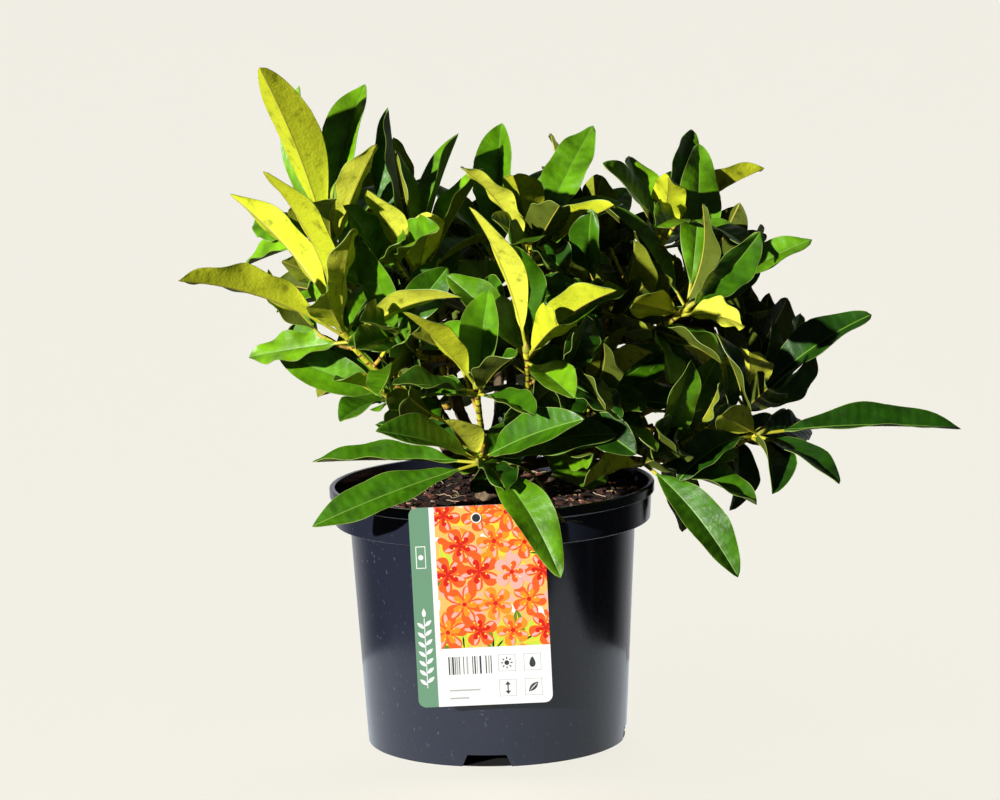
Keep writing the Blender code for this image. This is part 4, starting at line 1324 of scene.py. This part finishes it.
def make_compost():
    edge = collar_inner_radius(SOIL_TOP) - GAP
    bottom = SOIL_TOP - 2 * SOIL_BUMP
    rings = [[Vector((0, 0, bottom))], circle(edge - 0.002, bottom, SOIL_STEPS)]
    for i in range(SOIL_RINGS, 0, -1):
        ring = circle((edge - 0.0006) * i / SOIL_RINGS, 0, SOIL_STEPS)
        rings.append([on_soil(point.x, point.y) for point in ring])
    rings.append([on_soil(0, 0)])
    brown = plain_material("compost", COMPOST_COLOURS[1], 0.95)
    vary_colour(brown, COMPOST_COLOURS, 330, 0.38, 0.72, 5.0)
    add_bump(brown, 1300, 0.0012, 0.9, 6.0)
    build_one(lofted(rings), "compost", [brown], "soil", 80)
    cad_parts["root_ball"].data.materials.clear()
    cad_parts["root_ball"].data.materials.append(brown)
    chance = random.Random("chips")
    chips = Gathered()
    for _ in range(CHIP_COUNT):
        place_of = scattered(chance, edge - 0.006, 0.03)
        finish = chance.choices(range(len(CHIP_COLOURS)), CHIP_WEIGHTS)[0]
        chips.add(chip_shape(on_soil(*place_of), chance), finish)
    finishes = [plain_material(f"bark_chip_{i + 1}", colour, 0.8) for i, colour in enumerate(CHIP_COLOURS)]
    for made in finishes:
        add_bump(made, 900, 0.0006, 0.7, 4.0)
    chips.build("bark_chips", finishes, "soil", 30)
    fibres = Gathered()
    for _ in range(FIBRE_COUNT):
        fibres.add(tube(fibre_path(chance, edge), [FIBRE_RADIUS] * FIBRE_POINTS, 5))
    fibres.build("fibres", [plain_material("dry_fibre", FIBRE_COLOUR, 0.8)], "soil", 60)


# Plant label

def arc(centre, radius, start, end, steps):
    """Points of a circle's arc in the card's plane, as (x, z)."""
    turns = [start + (end - start) * i / steps for i in range(steps + 1)]
    return [(centre[0] + radius * math.cos(turn), centre[1] + radius * math.sin(turn)) for turn in turns]


def disc(centre, radius, steps):
    return arc(centre, radius, 0, math.tau, steps)[:-1]


def clipped(outline, window):
    """The part of an outline inside a convex window, both anticlockwise."""
    result = list(outline)
    for a, b in zip(window, window[1:] + window[:1]):
        def side(point):
            return (b[0] - a[0]) * (point[1] - a[1]) - (b[1] - a[1]) * (point[0] - a[0])
        source, result = result, []
        for p, q in zip(source, source[1:] + source[:1]):
            inside_p, inside_q = side(p) >= 0, side(q) >= 0
            if inside_p:
                result.append(p)
            if inside_p != inside_q:
                t = side(p) / (side(p) - side(q))
                result.append((p[0] + (q[0] - p[0]) * t, p[1] + (q[1] - p[1]) * t))
        if not result:
            return []
    return result


class Print:
    """Flat inks on the card's front, each a thin closed plate on its own layer."""

    def __init__(self):
        self.gathered = Gathered()
        self.names = list(LABEL_COLOURS)
        self.middle = Vector((CARD_CENTRE_X, CARD_BACK - CARD_THICKNESS, CARD_TOP - CARD_HEIGHT / 2))

    def add(self, outline, layer, colour, window=None):
        if window:
            outline = clipped(outline, window)
        if len(outline) < 3:
            return
        rings = [[self.middle + CARD_SPIN @ Vector((x, depth * PRINT_LAYER, z)) for x, z in outline]
                 for depth in (0.5, -layer)]
        self.gathered.add(lofted(rings), self.names.index(colour))


def rectangle(left, bottom, right, top):
    return [(left, bottom), (right, bottom), (right, top), (left, top)]


def turned(centre, heading, outline):
    """An outline along x, turned to a heading and moved to its place."""
    return [(centre[0] + x * math.cos(heading) - y * math.sin(heading),
             centre[1] + x * math.sin(heading) + y * math.cos(heading)) for x, y in outline]


def petal(centre, heading, length, width):
    """An outline that is narrow at the centre and round at its far end, anticlockwise."""
    outline = []
    for i in range(16):
        turn = -math.pi + math.tau * i / 16
        outline.append((length * (0.54 + 0.46 * math.cos(turn)),
                        width / 2 * math.sin(turn) * (0.70 + 0.30 * math.cos(turn))))
    return turned(centre, heading, outline)


def blade(centre, heading, length, width):
    """A leaf's outline, pointed at both ends, anticlockwise."""
    right = [(length * t, -width / 2 * math.sin(math.pi * t)) for t in (0, 0.15, 0.3, 0.5, 0.7, 0.85, 1)]
    left = [(x, -y) for x, y in reversed(right[1:-1])]
    return turned(centre, heading, right + left)


def print_bloom(ink, centre, size, first, outer, inner, layer, window):
    """Five petals with streaks, stamens and a heart."""
    for k in range(PETALS):
        heading = first + math.tau * k / PETALS
        ink.add(petal(centre, heading, size, size * 0.92), layer + 0.1 * (k % 2), outer, window)
        ink.add(petal(centre, heading + 0.22, size * 0.92, size * 0.26), layer + 0.3, "pink", window)
        ink.add(petal(centre, heading, size * 0.62, size * 0.40), layer + 0.5, inner, window)
        stamen = turned(centre, heading + 0.3, [(size * 0.36, 0)])[0]
        ink.add(disc(stamen, 0.00065, 8), layer + 0.9, "yellow", window)
    ink.add(disc(centre, 0.0016, 12), layer + 0.8, "red", window)


def print_picture(ink, left, bottom):
    """A made-up pattern of round five-petalled blooms with leaves between them."""
    right, top = CARD_WIDTH / 2, CARD_HEIGHT / 2
    corner = (right - CARD_CORNER, top - CARD_CORNER)
    window = [(left, bottom), (right, bottom)] + arc(corner, CARD_CORNER, 0, math.pi / 2, 6)
    window.append((left, top))
    ink.add(window, 1, "apricot")
    chance = random.Random("picture")
    for _ in range(LOOSE_PETALS):
        centre = (chance.uniform(left, right), chance.uniform(bottom, top))
        colour = chance.choice(("orange", "pink", "white", "pink", "yellow", "coral"))
        size = chance.uniform(*LOOSE_SIZES)
        outline = petal(centre, chance.uniform(0, math.tau), size * 1.6, size)
        ink.add(outline, chance.uniform(1.4, 2.0), colour, window)
    for centre, heading in (((left + 0.016, bottom - 0.002), 2.0), ((right - 0.012, top - 0.034), 0.25),
                            ((left + 0.010, bottom + 0.050), 2.6), ((right - 0.020, bottom + 0.002), 0.9),
                            ((left + 0.036, bottom - 0.003), 1.2)):
        for turn, colour in ((0, "lime"), (0.75, "leaf"), (-0.75, "lime")):
            ink.add(blade(centre, heading + turn, *PICTURE_LEAF), 2.4, colour, window)
            ink.add(blade(centre, heading + turn, *PICTURE_RIB), 2.8, "yellow", window)
    layer = 3.2
    step = BLOOM_RADIUS * 1.62
    for row in range(BLOOM_ROWS):
        for column in range(BLOOM_COLUMNS):
            x = left + 0.006 + step * (column + 0.5 * (row % 2))
            z = bottom + 0.011 + step * 0.93 * row
            centre = (x + chance.uniform(-0.0015, 0.0015), z + chance.uniform(-0.0015, 0.0015))
            size = BLOOM_RADIUS * chance.uniform(0.82, 1.05)
            first = chance.uniform(0, math.tau)
            outer, inner = chance.choice(BLOOM_COLOURS)
            print_bloom(ink, centre, size, first, outer, inner, layer, window)
            layer += 0.25


def frame_lines(ink, left, bottom):
    """The four thin lines round a sign."""
    right, top = left + SIGN_SIZE, bottom + SIGN_SIZE
    for sides in ((left, bottom, right, bottom + SIGN_LINE), (left, top - SIGN_LINE, right, top),
                  (left, bottom, left + SIGN_LINE, top), (right - SIGN_LINE, bottom, right, top)):
        ink.add(rectangle(*sides), 1, "grey")


def print_signs(ink, left, bottom):
    """Bars of no code and four boxed signs: a sun, a drop, a growing height and a leaf."""
    x = left + SIGN_INSET
    for i, (width, gap) in enumerate(BARS):
        ink.add(rectangle(x, bottom - 0.0185, x + width, bottom - 0.0060), 1, "ink" if i % 3 != 1 else "grey")
        x += width + gap
    x = left + SIGN_INSET
    for drop, width in ((0.0290, 0.021), (0.0345, 0.013)):
        ink.add(rectangle(x, bottom - drop - 0.0011, x + width, bottom - drop), 1, "grey")
    places = [(left + 0.0385 + SIGN_STEP * i, bottom - SIGN_STEP - SIGN_STEP * j)
              for j in range(2) for i in range(2)]
    for box_left, box_bottom in places:
        frame_lines(ink, box_left, box_bottom)
    sun, drop, height, leaf = [(x + SIGN_SIZE / 2, z + SIGN_SIZE / 2) for x, z in places]
    ink.add(disc(sun, 0.0017, 16), 1, "ink")
    for k in range(8):
        heading = math.tau * k / 8
        ink.add(blade(turned(sun, heading, [(0.0023, 0)])[0], heading, 0.0020, 0.0009), 1, "ink")
    ink.add(petal((drop[0], drop[1] + 0.0042), -math.pi / 2, 0.0080, 0.0056), 1, "ink")
    x, z = height
    ink.add(rectangle(x - 0.0004, z - 0.0028, x + 0.0004, z + 0.0028), 1, "ink")
    for way in (1, -1):
        tip = z + way * 0.0045
        wings = [(x - 0.0020 * way, tip - 0.0024 * way), (x + 0.0020 * way, tip - 0.0024 * way)]
        ink.add(wings + [(x, tip)], 1, "ink")
    for inset, length, width, layer, colour in ((0.0034, 0.0096, 0.0042, 1, "ink"),
                                                (0.0030, 0.0086, 0.0006, 2, "white")):
        ink.add(blade((leaf[0] - inset, leaf[1] - inset), math.pi / 4, length, width), layer, colour)


def print_stripe(ink):
    """A dull green stripe down the card's left side, with a sprig of white leaves and a small white panel."""
    left, top = -CARD_WIDTH / 2, CARD_HEIGHT / 2
    right, middle = left + STRIPE_WIDTH, left + STRIPE_WIDTH / 2
    outline = arc((left + CARD_CORNER, top - CARD_CORNER), CARD_CORNER, math.pi / 2, math.pi, 6)
    outline += arc((left + CARD_CORNER, -top + CARD_CORNER), CARD_CORNER, math.pi, 1.5 * math.pi, 6)
    outline += [(right, -top), (right, top)]
    ink.add(outline, 1, "stripe")
    ink.add(rectangle(middle - SPRIG_LINE, -0.0560, middle + SPRIG_LINE, -0.0060), 2, "white")
    for k in range(SPRIG_PAIRS):
        z = SPRIG_FOOT + SPRIG_STEP * k
        for way in (1, -1):
            foot = (middle, z + SPRIG_SHIFT * (way > 0))
            ink.add(blade(foot, math.pi / 2 - way * SPRIG_SPREAD, SPRIG_STEP, SPRIG_WIDTH), 2, "white")
    ink.add(blade((middle, -0.0072), math.pi / 2, 0.0070, 0.0028), 2, "white")
    ink.add(rectangle(middle - 0.0034, 0.0275, middle + 0.0034, 0.0430), 2, "white")
    ink.add(rectangle(middle - 0.0028, 0.0281, middle + 0.0028, 0.0424), 3, "stripe")
    ink.add(disc((middle, 0.0352), 0.0018, 16), 4, "white")


def hole_shape(centre, depths):
    """A round plug through the card's eyelet, between two depths."""
    outline = circle(CARD_HOLE_RADIUS, 0, HOLE_STEPS)
    return lofted([[centre + Vector((point.x, depth, point.y)) for point in outline] for depth in depths])


def tongue_shape(depth):
    """A strip that goes up from the card, over the lip and down inside the collar."""
    half = CARD_THICKNESS / 2
    inner = GAP - math.sqrt(collar_inner_radius(POT_HEIGHT) ** 2 - (CARD_CENTRE_X - TONGUE_WIDTH / 2) ** 2)
    over = POT_HEIGHT + GAP
    path = [Vector((0, depth, over - 0.002)), Vector((0, depth, over + half)),
            Vector((0, inner + half, over + half)), Vector((0, inner + half, over - TONGUE_DROP))]
    rings = []
    for i, point in enumerate(path):
        before = unit(point - path[i - 1]) if i else unit(path[1] - point)
        after = unit(path[i + 1] - point) if i < len(path) - 1 else before
        out = unit(Vector((0, -before.z - after.z, before.y + after.y))) * CARD_THICKNESS / 2
        out *= 1.0 if (before - after).length < 0.1 else math.sqrt(2)
        rings.append([Vector((CARD_CENTRE_X + a * TONGUE_WIDTH / 2, point.y, point.z)) + out * b
                      for a, b in ((-1, -1), (1, -1), (1, 1), (-1, 1))])
    return lofted(rings)


def make_label():
    """The card with its rounded corners, eyelet and tongue, and the prints on its front."""
    middle = Vector((CARD_CENTRE_X, CARD_BACK - CARD_THICKNESS / 2, CARD_TOP - CARD_HEIGHT / 2))
    half = Vector((0, CARD_THICKNESS / 2, 0))
    outline = []
    for corner, (side, top) in enumerate(((1, 1), (-1, 1), (-1, -1), (1, -1))):
        centre = (side * (CARD_WIDTH / 2 - CARD_CORNER), top * (CARD_HEIGHT / 2 - CARD_CORNER))
        outline += arc(centre, CARD_CORNER, math.pi / 2 * corner, math.pi / 2 * (corner + 1), 8)
    rings = [[middle + CARD_SPIN @ Vector((x, 0, z)) + half * side for x, z in outline] for side in (-1, 1)]
    white = plain_material("label_card", LABEL_COLOURS["white"], 0.28)
    add_bump(white, 60, 0.0006, 0.05)
    card = build_one(lofted(rings), "label_card", [white], "label_card", 30, ["label"])
    hole = middle + CARD_SPIN @ Vector((0, 0, CARD_HEIGHT / 2 - CARD_HOLE_DROP))
    through = 4 * CARD_THICKNESS
    cut_away(card, [new_object("hole_cutter", *hole_shape(hole, (-through, through)))])
    build_one(tongue_shape(middle.y), "label_tongue", [white], "label_card", 30)
    ink = Print()
    left = -CARD_WIDTH / 2 + STRIPE_WIDTH + STRIPE_GAP
    bottom = CARD_HEIGHT / 2 - PICTURE_HEIGHT
    print_picture(ink, left, bottom)
    print_signs(ink, left, bottom)
    print_stripe(ink)
    inks = [plain_material(f"ink_{name}", colour, 0.3) for name, colour in LABEL_COLOURS.items()]
    ink.gathered.build("label_print", inks, "label_card", 30)
    front = -CARD_THICKNESS / 2 - EYELET_LIFT
    rim = []
    for k in range(EYELET_STEPS + 1):
        angle = math.tau * k / EYELET_STEPS
        out = Vector((math.cos(angle), 0, math.sin(angle)))
        rim.append(hole + out * (CARD_HOLE_RADIUS + EYELET_LIFT) + Vector((0, front, 0)))
    pale = plain_material("eyelet", EYELET_COLOUR, 0.3)
    build_one(tube(rim, [EYELET_RADIUS] * len(rim), 8), "label_eyelet", [pale], "label_card", 60)
    # A thin near-black disc over the eyelet's hole, painted shade for the hole's dark.
    dark = plain_material("eyelet_hole_shade", HOLE_SHADE_COLOUR, 0.6)
    build_one(hole_shape(hole, (front - 0.0002, front)), "label_hole", [dark], "label_card", 30)


# Stage, light and camera

def add_sheet(name, outline, height, colour):
    """A flat sheet of the stage, which is no part of the plant."""
    mesh = bpy.data.meshes.new(name)
    mesh.from_pydata([(point.x, point.y, height) for point in outline], [], [tuple(range(len(outline)))])
    mesh.materials.append(plain_material(name, colour, 0.9))
    sheet = bpy.data.objects.new(name, mesh)
    bpy.context.scene.collection.objects.link(sheet)
    return sheet


def make_stage():
    """The floor, a pale sheet that only gloss shows, and the ground that the foot shades.

    Returns the two pale sheets, which the floor's own light lights.
    """
    half = FLOOR_SIZE / 2
    corners = [Vector((x * half, y * half)) for x, y in ((-1, -1), (1, -1), (1, 1), (-1, 1))]
    floor = add_sheet("floor", corners, 0, FLOOR_COLOUR)
    floor.visible_diffuse = False
    floor.visible_glossy = False
    outline = []
    for i in range(GLOW_STEPS):
        turn = math.tau * i / GLOW_STEPS
        off = math.remainder(turn - GLOW_CORNER_TURN, math.tau)
        reach = GLOW_RADIUS + GLOW_CORNER * math.exp(-(off / GLOW_CORNER_SPREAD) ** 2)
        outline.append(direction(math.degrees(turn), 0) * reach)
    glow = add_sheet("glow_card", outline, GLOW_HEIGHT, GLOW_COLOUR)
    for ray in ("camera", "diffuse", "transmission", "shadow"):
        setattr(glow, "visible_" + ray, False)
    add_sheet("shade_card", circle(BASE_RADIUS - SHADE_INSET, 0, GLOW_STEPS), SHADE_HEIGHT, SHADE_COLOUR)
    return floor, glow


def add_sun(name, rise, strength, width, colour, shadow):
    """A far light from the key's side, as wide as width in degrees."""
    light = bpy.data.lights.new(name, "SUN")
    light.energy = strength
    light.angle = math.radians(width)
    light.color = colour
    light.use_shadow = shadow
    sun = bpy.data.objects.new(name, light)
    bpy.context.scene.collection.objects.link(sun)
    sun.rotation_euler = direction(KEY_HEADING, rise).to_track_quat("Z", "Y").to_euler()
    return sun


def make_world():
    """Soft light that is faint in front and bright behind."""
    world = bpy.data.worlds.new("studio")
    bpy.context.scene.world = world
    world.use_nodes = True
    tree = world.node_tree
    place_of = tree.nodes.new("ShaderNodeTexCoord")
    parts = tree.nodes.new("ShaderNodeSeparateXYZ")
    spread = tree.nodes.new("ShaderNodeMapRange")
    spread.interpolation_type = "SMOOTHSTEP"
    for socket, value in (("From Min", 0.45), ("From Max", 1.0), ("To Min", FRONT_GLOW),
                          ("To Max", BACK_GLOW)):
        spread.inputs[socket].default_value = value
    background = tree.nodes["Background"]
    background.inputs["Color"].default_value = (*SKY_COLOUR, 1)
    tree.links.new(place_of.outputs["Generated"], parts.inputs["Vector"])
    tree.links.new(parts.outputs["Y"], spread.inputs["Value"])
    tree.links.new(spread.outputs["Result"], background.inputs["Strength"])


def make_light(stage):
    make_world()
    key = add_sun("key_light", KEY_RISE, KEY_STRENGTH, KEY_WIDTH, KEY_COLOUR, True)
    ground = add_sun("floor_light", FLOOR_LIGHT_RISE, FLOOR_LIGHT_STRENGTH, FLOOR_LIGHT_WIDTH, (1, 1, 1),
                     False)
    for light, state in ((key, "EXCLUDE"), (ground, "INCLUDE")):
        receivers = bpy.data.collections.new(light.name + "_receivers")
        for piece in stage:
            receivers.objects.link(piece)
        for member in receivers.collection_objects:
            member.light_linking.link_state = state
        light.light_linking.receiver_collection = receivers
    view = bpy.context.scene.view_settings
    view.view_transform = "Standard"
    view.look = "None"
    view.exposure = 0
    view.gamma = 1


def make_camera():
    cy, sy = math.cos(CAMERA_YAW), math.sin(CAMERA_YAW)
    cp, sp = math.cos(CAMERA_PITCH), math.sin(CAMERA_PITCH)
    cr, sr = math.cos(CAMERA_ROLL), math.sin(CAMERA_ROLL)
    forward = Vector((sy * cp, cy * cp, sp))
    level = Vector((cy, -sy, 0))
    above = level.cross(forward)
    right = level * cr + above * sr
    up = above * cr - level * sr
    lens = bpy.data.cameras.new("camera")
    lens.lens = CAMERA_LENS
    lens.sensor_width = 36
    lens.clip_end = 100
    camera = bpy.data.objects.new("camera", lens)
    bpy.context.scene.collection.objects.link(camera)
    matrix = Matrix((right, up, -forward)).transposed().to_4x4()
    matrix.translation = CAMERA_PLACE
    camera.matrix_world = matrix
    bpy.context.scene.camera = camera


def main():
    make_camera()
    make_light(make_stage())
    boughs, stems, shoots = make_shoots()
    space = grow_leaves(boughs, stems, shoots)
    fine = grow_fine_shoots(shoots, space)
    make_leaves(shoots, fine)
    make_limbs(boughs, stems, shoots, fine)
    make_dry_stalk()
    make_pot()
    make_compost()
    make_label()


main()
